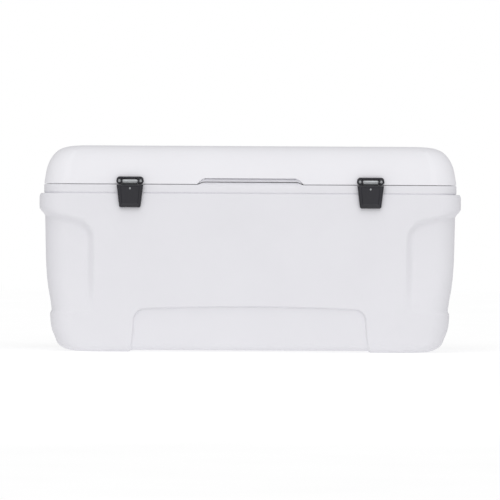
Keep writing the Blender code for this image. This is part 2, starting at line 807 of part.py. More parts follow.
def hinge(side, centre_x):
    """A body leaf with the middle knuckle, a lid leaf with the outer two, and a through pin."""
    pivot = (centre_x, HINGE_Y, SEAM_Z)
    bore = HINGE_PIN_R + GAP

    body_leaf = box(
        f"{side}_hinge_body_leaf",
        (centre_x - LEAF_HALF, LEAF_IN, 0.4085),
        (centre_x + LEAF_HALF, LEAF_OUT, 0.4230),
        "stainless",
        pivot,
    )
    body_arm = box(
        f"{side}_body_arm",
        (centre_x - KNUCKLE_SPLIT + 0.0004, LEAF_IN + 0.0004, 0.4220),
        (centre_x + KNUCKLE_SPLIT - 0.0004, HINGE_Y, 0.4290),
    )
    long = 2 * (KNUCKLE_SPLIT - GAP)
    body_knuckle = rod(f"{side}_body_knuckle", pivot, "X", KNUCKLE_R, long, segments=16)
    join(body_leaf, body_arm, body_knuckle)
    cut(body_leaf, rod(f"{side}_body_pin_hole", pivot, "X", bore, 0.08, segments=16))

    lid_leaf = box(
        f"{side}_hinge_lid_leaf",
        (centre_x - LEAF_HALF, LEAF_IN, 0.4345),
        (centre_x + LEAF_HALF, LEAF_OUT, 0.4600),
        "stainless",
        pivot,
    )
    for end, near, far in (("a", -KNUCKLE_END, -KNUCKLE_SPLIT), ("b", KNUCKLE_SPLIT, KNUCKLE_END)):
        arm = box(
            f"{side}_lid_arm_{end}",
            (centre_x + near + 0.0002, LEAF_IN + 0.0004, 0.4312),
            (centre_x + far - 0.0002, HINGE_Y, 0.4355),
        )
        knuckle = rod(
            f"{side}_lid_knuckle_{end}",
            (centre_x + (near + far) / 2, HINGE_Y, SEAM_Z),
            "X",
            KNUCKLE_R,
            far - near,
            segments=16,
        )
        join(lid_leaf, arm, knuckle)
    cut(lid_leaf, rod(f"{side}_lid_pin_hole", pivot, "X", bore, 0.08, segments=16))

    for what, leaf, height in (("body", body_leaf, 0.4155), ("lid", lid_leaf, 0.4505)):
        for end, x in (("a", -LEAF_SCREW_X), ("b", LEAF_SCREW_X)):
            place = (centre_x + x, LEAF_OUT + GAP, height)
            cut(leaf, rod(f"{leaf.name}_hole_{end}", place, "Y", SCREW_HOLE_R, 0.02, segments=12))
            screw(f"{side}_hinge_{what}_screw_{end}", place, "Y", 1, 0.0024)

    rod(f"{side}_hinge_pin", pivot, "X", HINGE_PIN_R, 0.0570, "stainless", segments=16)


# ---- Handles ------------------------------------------------------------------------


def handle(side, sign):
    """A bail that hangs flush in its pocket and swings up about its two trunnions."""
    x = sign * HANDLE_X
    pivot = (x, 0.0, HANDLE_Z)
    end_y = HANDLE_Y + 0.0200
    bend = 0.022
    low = -HANDLE_DROP
    shoulder = 0.0070
    route = [(-end_y, 0.0), (-HANDLE_Y - shoulder, 0.0)]
    route += [(-HANDLE_Y - 0.0020, -0.0016), (-HANDLE_Y, -shoulder)]
    route += arc((-HANDLE_Y + bend, low + bend), bend, 180, 270, 5)
    route += [(-y, z) for y, z in reversed(route)]

    curve = bpy.data.curves.new(f"{side}_handle_bail", "CURVE")
    curve.dimensions = "3D"
    curve.bevel_depth = HANDLE_R
    curve.bevel_resolution = 4
    curve.use_fill_caps = True
    spline = curve.splines.new("POLY")
    spline.points.add(len(route) - 1)
    for point, (y, z) in zip(spline.points, route):
        point.co = (0.0, y, z, 1.0)
    ob = bpy.data.objects.new(curve.name, curve)
    solid_from_curve(curve.name, ob, Matrix.Translation(pivot), "white_plastic", pivot)

    grip_at = (x, 0.0, HANDLE_Z + low)
    grip = rod(f"{side}_handle_grip", grip_at, "Y", GRIP_R, GRIP_LONG, "white_plastic", pivot)
    cut(grip, rod(f"{side}_grip_bore", grip_at, "Y", HANDLE_R + 0.0004, GRIP_LONG + 0.018))

    low_x, high_x = sorted((sign * (POCKET_FLOOR_X + GAP), sign * MOUNT_OUT_X))
    for end, y in (("front", -1), ("rear", 1)):
        low_y, high_y = sorted((y * 0.0925, y * (POCKET_Y - 0.0008)))
        mount = box(
            f"{side}_handle_mount_{end}",
            (low_x, low_y, MOUNT_LOW),
            (high_x, high_y, MOUNT_HIGH),
            "white_plastic",
        )
        middle = (low_y + high_y) / 2
        bore_at, hole_at = (x, y * 0.098, HANDLE_Z), (x, middle, HANDLE_SCREW_Z)
        cut(
            mount,
            rod(f"{side}_{end}_trunnion_bore", bore_at, "Y", HANDLE_R + 0.0005, 0.0136),
            rod(f"{side}_{end}_screw_hole", hole_at, "X", SCREW_HOLE_R, 0.06, segments=12),
        )
        place = (sign * (MOUNT_OUT_X + GAP), middle, HANDLE_SCREW_Z)
        screw(f"{side}_handle_screw_{end}", place, "X", sign, 0.0235)


# ---- Drain --------------------------------------------------------------------------


def turned(name, profile, material, segments=24):
    """A closed profile of (x, radius) turned about the drain's axis."""
    bm = bmesh.new()
    ring = [bm.verts.new((px, 0.0, radius)) for px, radius in profile]
    for a, b in zip(ring, ring[1:] + ring[:1]):
        bm.edges.new((a, b))
    bmesh.ops.spin(
        bm,
        geom=bm.verts[:] + bm.edges[:],
        cent=(0, 0, 0),
        axis=(1, 0, 0),
        angle=math.tau,
        steps=segments,
        use_merge=True,
    )
    bmesh.ops.remove_doubles(bm, verts=bm.verts, dist=1e-6)
    return add_object(name, mesh_from(name, bm, math.radians(35)), material, (0, 0, DRAIN_Z))


def drain():
    """A flanged spout through the wall, its nut and gasket inside, a screw cap and washer outside."""
    flange = DRAIN_FLOOR_X + GAP
    turned(
        "drain_spout",
        [
            (SPOUT_IN_X, SPOUT_BORE_R),
            (SPOUT_OUT_X, SPOUT_BORE_R),
            (SPOUT_OUT_X, SPOUT_R),
            (flange + FLANGE_T, SPOUT_R),
            (flange + FLANGE_T, FLANGE_R),
            (flange, FLANGE_R),
            (flange, SPOUT_R),
            (SPOUT_IN_X, SPOUT_R),
        ],
        "white_plastic",
    )
    bore = SPOUT_R + 0.0004
    for name, start, end, material in (
        ("drain_nut", 0.4585, 0.4632, "white_plastic"),
        ("drain_gasket", 0.4635, 0.4647, "rubber"),
    ):
        section = [(start, bore), (end, bore), (end, NUT_R), (start, NUT_R)]
        turned(name, section, material, 12)

    foot, hollow_foot = flange + 0.0030, flange - 0.0070
    hollow_end = SPOUT_OUT_X + 0.0023
    middle = ((foot + CAP_END_X) / 2, 0, DRAIN_Z)
    cap = rod("drain_cap", middle, "X", CAP_R, CAP_END_X - foot, "white_plastic")
    hollow_at = ((hollow_foot + hollow_end) / 2, 0, DRAIN_Z)
    cut(cap, rod("cap_hollow", hollow_at, "X", bore, hollow_end - hollow_foot))
    washer_at = (SPOUT_OUT_X + 0.0012, 0, DRAIN_Z)
    rod("drain_cap_washer", washer_at, "X", SPOUT_R - 0.0004, 0.0016, "rubber", segments=16)


def main():
    body_outer_shell()
    body_foam()
    body_liner()
    lid_outer_shell()
    lid_foam()
    lid_liner()
    for side, centre_x in LATCH_XS.items():
        latch(side, centre_x)
    for side, centre_x in HINGE_XS.items():
        hinge(side, centre_x)
    for side, sign in (("left", -1), ("right", 1)):
        handle(side, sign)
    drain()


main()
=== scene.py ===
import json
import math

import bmesh
import bpy
import numpy as np
from mathutils import Matrix, Vector


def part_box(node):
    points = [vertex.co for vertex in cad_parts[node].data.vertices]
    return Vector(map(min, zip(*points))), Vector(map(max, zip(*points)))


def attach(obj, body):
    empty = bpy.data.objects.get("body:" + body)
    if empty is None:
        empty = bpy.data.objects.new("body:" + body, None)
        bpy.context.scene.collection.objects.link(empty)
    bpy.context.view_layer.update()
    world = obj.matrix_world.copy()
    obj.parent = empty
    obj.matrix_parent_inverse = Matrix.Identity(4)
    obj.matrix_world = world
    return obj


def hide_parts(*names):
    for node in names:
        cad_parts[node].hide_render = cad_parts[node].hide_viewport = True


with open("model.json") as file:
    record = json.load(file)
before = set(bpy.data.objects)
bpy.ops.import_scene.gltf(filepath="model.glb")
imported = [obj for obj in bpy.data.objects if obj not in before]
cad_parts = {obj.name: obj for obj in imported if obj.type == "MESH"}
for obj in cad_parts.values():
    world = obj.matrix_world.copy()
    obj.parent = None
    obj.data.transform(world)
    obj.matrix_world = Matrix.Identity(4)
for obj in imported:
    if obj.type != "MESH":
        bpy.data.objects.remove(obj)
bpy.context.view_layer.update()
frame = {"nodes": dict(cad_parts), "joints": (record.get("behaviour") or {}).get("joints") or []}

# The look of a white chest cooler. Metres, +Z up, the latches face -Y, the drain is at +X.

JOINT_AT = {j["name"]: Vector(j["pos_m"]) for j in frame["joints"] if j.get("pos_m")}
LOW, HIGH = 0, 1

# ---- Sizes ----
GAP = 0.0003           # between neighbouring pieces
WALL = 0.004           # moulded skins of the body and the lid
CORNER_R = 0.056       # plan radius of the rim's corners
BODY_TIGHTEN, LID_TIGHTEN = (0.016, 0.25), (0.022, 0.30)  # most, and share of the lost length
RIM_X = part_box("body_liner")[HIGH].x + WALL + GAP
RIM_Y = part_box("lid_outer_shell")[HIGH].y
RIM_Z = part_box("body_liner")[HIGH].z
SHOULDER_X, SHOULDER_Y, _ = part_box("body_outer_shell")[HIGH]
LID_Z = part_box("lid_outer_shell")[LOW].z
TOP_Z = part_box("lid_outer_shell")[HIGH].z

# Body skin, bottom to top: height, half length, half depth, rounding at that corner.
# None rounds half of both neighbouring legs.
BODY_PROFILE = [
    (0.0000, 0.430, 0.1880, 0),
    (0.0012, 0.452, 0.2010, None),
    (0.0050, 0.471, 0.2090, None),
    (0.0130, 0.486, 0.2128, None),
    (0.0200, 0.494, 0.2138, None),
    (0.0360, 0.500, 0.2148, None),
    (0.0510, 0.507, 0.2154, None),
    (0.0670, 0.511, 0.2159, None),
    (0.0900, 0.513, 0.2165, None),
    (0.1060, 0.5135, 0.2168, None),
    (0.1300, 0.518, 0.2172, None),
    (0.2000, 0.5245, 0.2182, None),
    (0.2900, 0.5285, 0.2200, None),
    (0.3450, 0.5375, 0.2210, None),
    (0.3640, SHOULDER_X, SHOULDER_Y, 0.006),
    (0.3975, SHOULDER_X, SHOULDER_Y, 0.003),
    (0.4055, 0.5385, 0.2212, 0.0015),
    (0.4064, RIM_X - 0.0014, RIM_Y - 0.0014, 0.0004),
    (0.4080, RIM_X - 0.0014, RIM_Y - 0.0014, 0.0004),
    (0.4088, RIM_X, RIM_Y, 0.0006),
    (RIM_Z - 0.0022, RIM_X, RIM_Y, 0.0014),
    (RIM_Z, RIM_X - 0.0020, RIM_Y - 0.0020, 0),
]
PATH_STEP, BODY_STEP, LID_STEP = 0.0008, 0.0075, 0.0050
# Heights where rows of the skin lie closer: low, high, step.
BODY_BANDS = ((-0.001, 0.016, 0.0022), (0.090, 0.121, 0.0012), (0.298, 0.362, 0.0030),
              (0.395, 0.4050, 0.0012), (0.4050, 0.4100, 0.0008), (0.4100, 0.4295, 0.0012))
BODY_INNER_HEIGHTS = (0.427, 0.409, 0.395, 0.380, 0.366, 0.356, 0.348, 0.341, 0.334, 0.327, 0.320,
                      0.313, 0.306, 0.29, 0.25, 0.20, 0.16, 0.13, 0.118, 0.110, 0.104, 0.098, 0.08,
                      0.05, 0.03, 0.015, 0.006)

# Recessed corner panels: half length of the end wall and set-back of the front wall by height.
RECESS_HEIGHTS = (0.100, 0.128, 0.160, 0.190, 0.235, 0.290, 0.352)
RECESS_ENDS = (0.508, 0.512, 0.518, 0.522, 0.525, 0.5262, 0.5275)
RECESS_BACKS = (0.0004, 0.0040, 0.0088, 0.0115, 0.0135, 0.0140, 0.0140)
GROOVE_X = 0.4075      # middle of the sloped side wall
GROOVE_WIDE = 0.022
RECESS_TOP_Z, RECESS_TOP_SLOPE = 0.3575, 0.240
RECESS_CORNER_R = 0.034
FOOT_TOP_LOW, FOOT_TOP_HIGH = 0.0960, 0.1085

# Arched panel between the feet.
ARCH_X, ARCH_LEAN, ARCH_LEAN_Z = 0.305, 0.007, 0.070
ARCH_TOP, ARCH_DROP, ARCH_DROP_X = 0.117, 0.006, 0.265
ARCH_R, ARCH_DEEP, ARCH_EDGE = 0.030, 0.0058, 0.0036
BASE_LIFT, BASE_LIFT_Z, FOOT_LOW_X, FOOT_HIGH_X = 0.004, 0.018, 0.301, 0.312
FLOOR_LOW_Z, FLOOR_HIGH_Z = 0.010, 0.050  # the skin's base thickens upwards between these

# Finger notch in the lid and the ledge under it.
NOTCH_X, NOTCH_TOP_X, NOTCH_Z, NOTCH_DEEP, NOTCH_LEAN = 0.137, 0.118, 0.4455, 0.0085, 0.0035
NOTCH_BASE_Z, NOTCH_SIDE, NOTCH_CREASE, CREASE_CLIMB = 0.4368, 0.0022, 0.0035, (0.70, 0.95)
NOTCH_ROWS, NOTCH_ROW_CLEAR = (-0.0012, -0.0002, 0.0001, 0.0010), 0.0011
LEDGE_Z, LEDGE_TOP_Z, LEDGE_DEEP = 0.421, 0.4350, 0.0085

LID_PROFILE = [
    (LID_Z, 0.5285, 0.2170, 0),
    (LID_Z + 0.0012, 0.5295, 0.2180, 0.0008),
    (0.4430, 0.5278, 0.2178, None),
    (0.4520, 0.5262, 0.2174, None),
    (0.4700, 0.5232, 0.2150, None),
    (0.4870, 0.5172, 0.2105, None),
    (0.5020, 0.5082, 0.2030, None),
    (0.5130, 0.4985, 0.1945, None),
    (0.5210, 0.4860, 0.1840, None),
    (0.5268, 0.4660, 0.1690, None),
    (TOP_Z, 0.4350, 0.1450, 0),
]
LID_BANDS = ((0.0, 0.4470, 0.0012),)
LID_INNER = [
    (TOP_Z - WALL, 0.425, 0.140),
    (0.5228, 0.452, 0.163),
    (0.5170, 0.471, 0.178),
    (0.5090, 0.486, 0.189),
    (0.4985, 0.497, 0.198),
    (0.4840, 0.508, 0.206),
    (0.4680, 0.516, 0.2108),
    (0.4520, 0.5215, 0.2134),
    (0.4470, 0.5233, 0.2137),
    (0.4450, 0.5236, 0.2138),
    (0.4370, 0.5246, 0.2140),
    (LID_Z + 0.0008, 0.5255, 0.2140),
    (LID_Z, 0.5262, 0.2148),
]

# Tub with its flange, and the lid's inner panel: height, half length, half depth, plan radius.
TUB = [
    (0.0450, 0.452, 0.148, 0.030),
    (0.0462, 0.462, 0.158, 0.036),
    (0.0500, 0.4675, 0.1635, 0.040),
    (0.0580, 0.4712, 0.1672, 0.0435),
    (0.0750, 0.4730, 0.1690, 0.045),
    (0.2500, 0.4810, 0.1745, 0.045),
    (0.4200, 0.4878, 0.1798, 0.045),
    (0.4250, 0.4885, 0.1805, 0.0455),
    (0.4275, 0.4898, 0.1818, 0.0465),
    (0.4287, 0.4915, 0.1835, 0.048),
    (0.4290, 0.4940, 0.1860, 0.050),
    (0.4290, 0.5245, 0.2125, 0.0507),
    (0.4287, 0.5254, 0.2134, 0.0515),
    (0.4278, 0.5257, 0.2137, 0.0517),
    (0.4261, 0.5257, 0.2137, 0.0517),
    (0.4260, 0.4950, 0.1870, 0.050),
    (0.4240, 0.4918, 0.1838, 0.048),
    (0.2500, 0.4840, 0.1775, 0.048),
    (0.0750, 0.4760, 0.1720, 0.048),
    (0.0560, 0.4740, 0.1700, 0.0465),
    (0.0465, 0.4700, 0.1660, 0.043),
    (0.0430, 0.4630, 0.1590, 0.037),
    (0.0420, 0.4530, 0.1490, 0.031),
]
LID_PANEL = [
    (0.4190, 0.4580, 0.1500, 0.028),
    (0.4192, 0.4700, 0.1620, 0.036),
    (0.4200, 0.4755, 0.1675, 0.040),
    (0.4215, 0.4785, 0.1705, 0.0415),
    (0.4240, 0.4800, 0.1720, 0.042),
    (0.4295, 0.4825, 0.1745, 0.0438),
    (0.4311, 0.4838, 0.1758, 0.045),
    (0.4316, 0.4860, 0.1780, 0.046),
    (0.4316, 0.5230, 0.2115, 0.050),
    (0.4320, 0.5238, 0.2123, 0.0508),
    (0.4330, 0.5240, 0.2125, 0.051),
    (0.4345, 0.5240, 0.2125, 0.051),
    (0.4345, 0.4840, 0.1760, 0.045),
    (0.4245, 0.4770, 0.1690, 0.040),
    (0.4222, 0.4700, 0.1620, 0.036),
    (0.4221, 0.4560, 0.1480, 0.028),
]
# Half length and depth where the flanges make way for the ledge and the notch.
LEDGE_RELIEF, NOTCH_RELIEF = (0.139, 0.2075), (0.1405, 0.2012)

# Handle pockets and drain recess, cut into the ends.
POCKET_HALF, POCKET_Z, POCKET_TALL = 0.108, 0.2585, 0.147
POCKET_FLOOR_X, POCKET_R = 0.4985, 0.014
DRAIN_AT = JOINT_AT["drain_cap_turn"]
DRAIN_HALF, DRAIN_TALL, DRAIN_FLOOR_X, DRAIN_R = 0.036, 0.062, 0.4850, 0.010
SPOUT_HOLE_R, SPOUT_HOLE_SPAN = 0.0095, (0.455, 0.500)
FLOOR_FILLET, MOUTH_R, MOUTH_PROUD = 0.004, 0.0028, 0.0001
TRAY_SUNK, HOLLOW_PAST = 0.0012, 0.030  # tray's edge inside the wall, and the cutter's end beyond it

# Latches.
LATCH_SCREW_X, LATCH_SCREW_Z = 0.02725, 0.4380
EAR_R, EAR_TOP_X, EAR_TOP_Z = 0.0080, 0.0265, 0.4410
WINDOW_X, WINDOW_LOW, WINDOW_TOP, BRACKET_TOP = 0.0200, 0.4310, 0.4437, 0.4490
PLATE_T, TOP_BAR_X, PIN_BORE_X, PIN_BORE_R = 0.0028, 0.0270, 0.0236, 0.0035
FLAP_TOP, FLAP_LOW = 0.4278, 0.370
FLAP_TOP_X, FLAP_LOW_X = 0.034, 0.0270
FLAP_FACE_Y = -RIM_Y - 0.0145
FLAP_BACK_Y = -0.2238
FLAP_CORNER = 0.004
PANEL_U, PANEL_LOW, PANEL_TOP, PANEL_DEEP = 0.72, 0.3795, 0.4238, 0.0016
BAND_AT, BAND_WIDE, BAND_DEEP = (0.3735, 0.3775), 0.0011, 0.0008
RIB_GROOVE_U, RIB_GROOVE_WIDE, RIB_GROOVE_DEEP = 0.93, 0.035, 0.0007
FLAP_WALL = 0.0032     # front wall left by the channels behind the flap
CHANNEL_Y = -0.2150    # clear behind the flap
RIVET_Z, RIVET_R, HOLE_R = 0.4188, 0.0020, 0.0023
CURL_OUT, CURL_IN, STRAP_HALF, STRAP_T = 0.0053, 0.0036, 0.0185, 0.0008

# Hinges.
HINGE_AT = JOINT_AT["lid_hinge"]
LEAF_IN, LEAF_OUT = RIM_Y + GAP, RIM_Y + 0.0026
LEAF_HALF, LEAF_SCREW_X, LEAF_CORNER = 0.030, 0.020, 0.004
BODY_LEAF_Z, BODY_ARM_Z, BODY_LEAF_SCREW_Z = (0.4085, 0.4230), (0.4220, 0.4290), 0.4155
LID_LEAF_Z, LID_ARM_Z, LID_LEAF_SCREW_Z = (0.4345, 0.4600), (0.4312, 0.4355), 0.4505
KNUCKLE_R, HINGE_PIN_R, KNUCKLE_SPLIT, KNUCKLE_END = 0.0060, 0.0022, 0.0100, 0.0280

# Handles.
BAIL_R, BAIL_HALF, BAIL_DROP, BAIL_BEND, BAIL_SHOULDER = 0.0062, 0.084, 0.086, 0.022, 0.0070
GRIP_R, GRIP_HALF, GRIP_WAVES, GRIP_DIP = 0.0100, 0.056, 5, 0.0007
SEAT_Y, SEAT_HALF = 0.098, 0.0068  # where the mounts hold the bail's ends

# ---- Small helpers ----

def stops(*spans):
    """Ascending values from (start, end, step) spans, both ends included."""
    values = []
    for start, end, step in spans:
        count = max(1, round((end - start) / step))
        values += [start + (end - start) * i / count for i in range(count + 1)]
    return sorted(set(round(v, 6) for v in values))


def smoothstep(low, high, x):
    t = np.clip((x - low) / (high - low), 0.0, 1.0)
    return t * t * (3.0 - 2.0 * t)


def rounded_distance(p, q, radius):
    """Signed distance to the quarter plane p < 0, q < 0, with its corner rounded."""
    a, b = p + radius, q + radius
    outside = np.hypot(np.maximum(a, 0.0), np.maximum(b, 0.0))
    return outside + np.minimum(np.maximum(a, b), 0.0) - radius


def rounded_path(points):
    """A dense path with rounded corners; each point ends in its corner's rounding."""
    spots = [np.array(p[:-1], float) for p in points]
    path = [spots[0]]
    for i in range(1, len(spots) - 1):
        into, out_of = spots[i] - spots[i - 1], spots[i + 1] - spots[i]
        reach = points[i][-1]
        share = [0.5 if reach is None else min(0.5, reach / np.linalg.norm(leg))
                 for leg in (into, out_of)]
        start, end = spots[i] - into * share[0], spots[i] + out_of * share[1]
        bends = max(3, math.ceil(np.linalg.norm(end - start) / PATH_STEP))
        for t in np.linspace(0.0, 1.0, bends + 1):
            path.append((1 - t) ** 2 * start + 2 * t * (1 - t) * spots[i] + t * t * end)
    path.append(spots[-1])
    dense = [path[0]]
    for spot in path[1:]:
        last = dense[-1]
        pieces = round(np.linalg.norm(spot - last) / PATH_STEP)
        dense += [last + (spot - last) * k / pieces for k in range(1, pieces + 1)]
    return dense


def thinned(path, step, bands):
    """Points of a path about one step apart, or closer inside the bands of height."""
    kept = [path[0]]
    for row in path[1:-1]:
        near = [fine for low, high, fine in bands if low < row[0] < high]
        if np.linalg.norm(row - kept[-1]) >= (near[0] if near else step):
            kept.append(row)
    if np.linalg.norm(path[-1] - kept[-1]) < PATH_STEP / 2:
        kept.pop()
    kept.append(path[-1])
    return kept


def add_object(name, data):
    ob = bpy.data.objects.new(name, data)
    bpy.context.scene.collection.objects.link(ob)
    return ob


def shaded(mesh, sharp=35):
    """Smooth shading that keeps edges sharp past an angle in degrees."""
    mesh.shade_smooth()
    mesh.set_sharp_from_angle(angle=math.radians(sharp))
    return mesh


def object_from(name, bm, sharp=35):
    bmesh.ops.recalc_face_normals(bm, faces=bm.faces)
    mesh = bpy.data.meshes.new(name)
    bm.to_mesh(mesh)
    bm.free()
    return add_object(name, shaded(mesh, sharp))


def bake(ob):
    """Applies an object's modifiers to its mesh."""
    bpy.context.view_layer.update()
    graph = bpy.context.evaluated_depsgraph_get()
    mesh = bpy.data.meshes.new_from_object(ob.evaluated_get(graph))
    ob.modifiers.clear()
    ob.data = shaded(mesh)
    return ob


def combine(ob, operation, *tools):
    """Joins or cuts with tools that are then used up."""
    for tool in tools:
        modifier = ob.modifiers.new("boolean", "BOOLEAN")
        modifier.operation = operation
        modifier.solver = "EXACT"
        modifier.object = tool
    bake(ob)
    for tool in tools:
        bpy.data.objects.remove(tool, do_unlink=True)
    return ob


def round_edges(ob, width, segments=3, angle=40):
    modifier = ob.modifiers.new("rounded_edges", "BEVEL")
    modifier.width = width
    modifier.segments = segments
    modifier.limit_method = "ANGLE"
    modifier.angle_limit = math.radians(angle)
    return bake(ob)


def settle(ob, body, slot, material, *nodes):
    """Hangs a finished piece on its body, in place of its CAD nodes."""
    ob.data.materials.clear()
    ob.data.materials.append(material)
    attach(ob, body)
    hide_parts(*nodes)
    return ob


def arc(centre, radius, start, end, steps):
    """Points on an arc, angles in degrees."""
    turns = np.radians(np.linspace(start, end, steps + 1))
    return [(centre[0] + radius * math.cos(t), centre[1] + radius * math.sin(t)) for t in turns]


def prism(name, outline, axis, low, high):
    """A flat outline of (across, up) points made solid from low to high along X or Y."""
    bm = bmesh.new()
    rings = []
    for depth in (low, high):
        rings.append([
            bm.verts.new((depth, a, up) if axis == "X" else (a, depth, up)) for a, up in outline
        ])
    count = len(outline)
    for i in range(count):
        j = (i + 1) % count
        bm.faces.new((rings[0][i], rings[0][j], rings[1][j], rings[1][i]))
    for ring in rings:
        bm.faces.new(ring)
    return object_from(name, bm)


def block(name, low, high, edge=0.0004):
    """A moulded block between two corners, with rounded edges."""
    bm = bmesh.new()
    low, high = Vector(low), Vector(high)
    place = Matrix.Translation((low + high) / 2) @ Matrix.Diagonal((*(high - low), 1.0))
    bmesh.ops.create_cube(bm, size=1.0, matrix=place)
    ob = object_from(name, bm)
    return round_edges(ob, edge) if edge else ob


TURNS = {
    "X": Matrix(((0, 0, 1), (0, 1, 0), (-1, 0, 0))),
    "-X": Matrix(((0, 0, -1), (0, 1, 0), (1, 0, 0))),
    "Y": Matrix(((1, 0, 0), (0, 0, 1), (0, -1, 0))),
    "-Y": Matrix(((1, 0, 0), (0, 0, -1), (0, 1, 0))),
}


def turned(name, profile, axis, centre, sides=48, lobes=0, lobe_depth=0.0):
    """A closed profile of (along, radius, how lobed) turned about an axis through centre.

    A profile that meets the axis does so at two neighbouring points of radius 0."""
    bm = bmesh.new()
    centre = Vector(centre)

    def spot(along, x, y):
        return bm.verts.new(TURNS[axis] @ Vector((x, y, along)) + centre)

    poles = {k: spot(along, 0.0, 0.0) for k, (along, r, _) in enumerate(profile) if r == 0.0}
    rings = []
    for i in range(sides):
        angle = math.tau * i / sides
        ring = []
        for k, (along, radius, lobed) in enumerate(profile):
            r = radius - lobed * lobe_depth * 0.5 * (1.0 - math.cos(lobes * angle))
            ring.append(poles.get(k) or spot(along, r * math.cos(angle), r * math.sin(angle)))
        rings.append(ring)
    count = len(profile)
    for i in range(sides):
        here, there = rings[i], rings[(i + 1) % sides]
        for k in range(count):
            m = (k + 1) % count
            corners = list(dict.fromkeys((here[k], there[k], there[m], here[m])))
            if len(corners) > 2:
                bm.faces.new(corners)
    return object_from(name, bm)


def plain(points):
    """A profile without lobes."""
    return [(along, radius, 0) for along, radius in points]


def bar(name, axis, low, high, centre, radius, edge=0.0003, sides=40):
    """A round bar from low to high along an axis, with rounded ends; centre is its axis point."""
    ends = [(low, 0.0), (low, radius - edge), (low + edge, radius),
            (high - edge, radius), (high, radius - edge), (high, 0.0)]
    return turned(name, plain(ends), axis, centre, sides)


def tube(name, route, radius, sides=24):
    """A round tube along a smooth route of points, with rounded ends."""
    route = [Vector(p) for p in route]
    end_inset, end_share = 0.0006, 0.80
    bm = bmesh.new()
    rings = []
    side = None
    for i, spot in enumerate(route):
        ahead = route[min(i + 1, len(route) - 1)] - route[max(i - 1, 0)]
        ahead.normalize()
        side = ahead.orthogonal() if side is None else side - ahead * side.dot(ahead)
        side.normalize()
        other = ahead.cross(side)
        sizes = [(0.0, radius)]
        if i == 0:
            sizes.insert(0, (-end_inset, radius * end_share))
        elif i == len(route) - 1:
            sizes.append((end_inset, radius * end_share))
        for shift, size in sizes:
            ring = []
            for angle in np.linspace(0.0, math.tau, sides, endpoint=False):
                around = side * math.cos(angle) + other * math.sin(angle)
                ring.append(bm.verts.new(spot + ahead * shift + around * size))
            rings.append(ring)
    skin_between(bm, rings)
    return object_from(name, bm)


def skin_between(bm, loops):
    """Quads between equal loops, and one face over each end."""
    count = len(loops[0])
    for low, high in zip(loops, loops[1:]):
        for i in range(count):
            j = (i + 1) % count
            bm.faces.new((low[i], low[j], high[j], high[i]))
    bm.faces.new(loops[0])
    bm.faces.new(loops[-1])


# ---- Materials ----

def set_inputs(owner, node, values):
    """Fills a shader node's inputs: a socket is linked, anything else is a fixed value."""
    for key, value in values.items():
        if isinstance(value, bpy.types.NodeSocket):
            owner.node_tree.links.new(value, node.inputs[key])
        else:
            node.inputs[key].default_value = value


def add_node(owner, kind, values):
    node = owner.node_tree.nodes.new("ShaderNode" + kind)
    set_inputs(owner, node, values)
    return node


def new_material(name, roughness, metallic=0.0, specular=0.5):
    mat = bpy.data.materials.new(name)
    mat.use_nodes = True
    shader = mat.node_tree.nodes["Principled BSDF"]
    values = {"Roughness": roughness, "Metallic": metallic, "Specular IOR Level": specular}
    set_inputs(mat, shader, values)
    return mat, shader


def noise(mat, scale, detail, roughness=0.55, stretch=(1, 1, 1)):
    """Noise in object space; scale is features per metre."""
    where = add_node(mat, "TexCoord", {}).outputs["Object"]
    spot = add_node(mat, "Mapping", {"Vector": where, "Scale": stretch}).outputs["Vector"]
    values = {"Vector": spot, "Scale": scale, "Detail": detail, "Roughness": roughness}
    return add_node(mat, "TexNoise", values).outputs["Fac"]


def ranged(mat, value, low, high, start=0.3, end=0.7):
    """A value spread from low to high; noise mostly runs from start to end."""
    values = {"Value": value, "From Min": start, "From Max": end, "To Min": low, "To Max": high}
    return add_node(mat, "MapRange", values).outputs["Result"]


def mixed(mat, factor, *colours):
    """A colour between two colours, either of which may come from another node."""
    node = mat.node_tree.nodes.new("ShaderNodeMix")
    node.data_type = "RGBA"
    first, second = ((*c, 1.0) if isinstance(c, tuple) else c for c in colours)
    set_inputs(mat, node, {"Factor": factor, 6: first, 7: second})
    return node.outputs[2]


def bumped(mat, shader, layers):
    """Chains (height, distance) layers of bump into the shader's normal."""
    below = {}
    for height, distance in layers:
        bump = add_node(mat, "Bump", {"Distance": distance, "Height": height, **below})
        below = {"Normal": bump.outputs["Normal"]}
    set_inputs(mat, shader, below)


def worn_edges(mat):
    """Zero on flats, one along convex edges, from the mesh's pointiness."""
    pointiness = add_node(mat, "NewGeometry", {}).outputs["Pointiness"]
    return ranged(mat, pointiness, 0.0, 1.0, 0.57, 0.68)


def moulded_plastic(name, light, dark, worn, roughness, grain, grain_deep, wave_deep, gloss=0.45):
    """Moulded plastic: pebble grain over shallow flow waves, cloudy tone, rubbed edges."""
    mat, shader = new_material(name, roughness, 0.0, gloss)
    cloud = ranged(mat, noise(mat, 6.0, 3.0), 0.0, 1.0)
    speckle = ranged(mat, noise(mat, 240.0, 4.0), 0.0, 0.35)
    tone = mixed(mat, cloud, light, dark)
    tone = mixed(mat, speckle, tone, dark)
    tone = mixed(mat, worn_edges(mat), tone, worn)
    scuff = noise(mat, 55.0, 6.0, 0.65, (0.3, 1.0, 1.0))
    rough = ranged(mat, scuff, roughness - 0.05, roughness + 0.06)
    set_inputs(mat, shader, {"Base Color": tone, "Roughness": rough})
    waves, pebble = noise(mat, 8.0, 1.0, 0.4), noise(mat, grain, 2.0, 0.5)
    bumped(mat, shader, [(waves, wave_deep), (pebble, grain_deep)])
    return mat


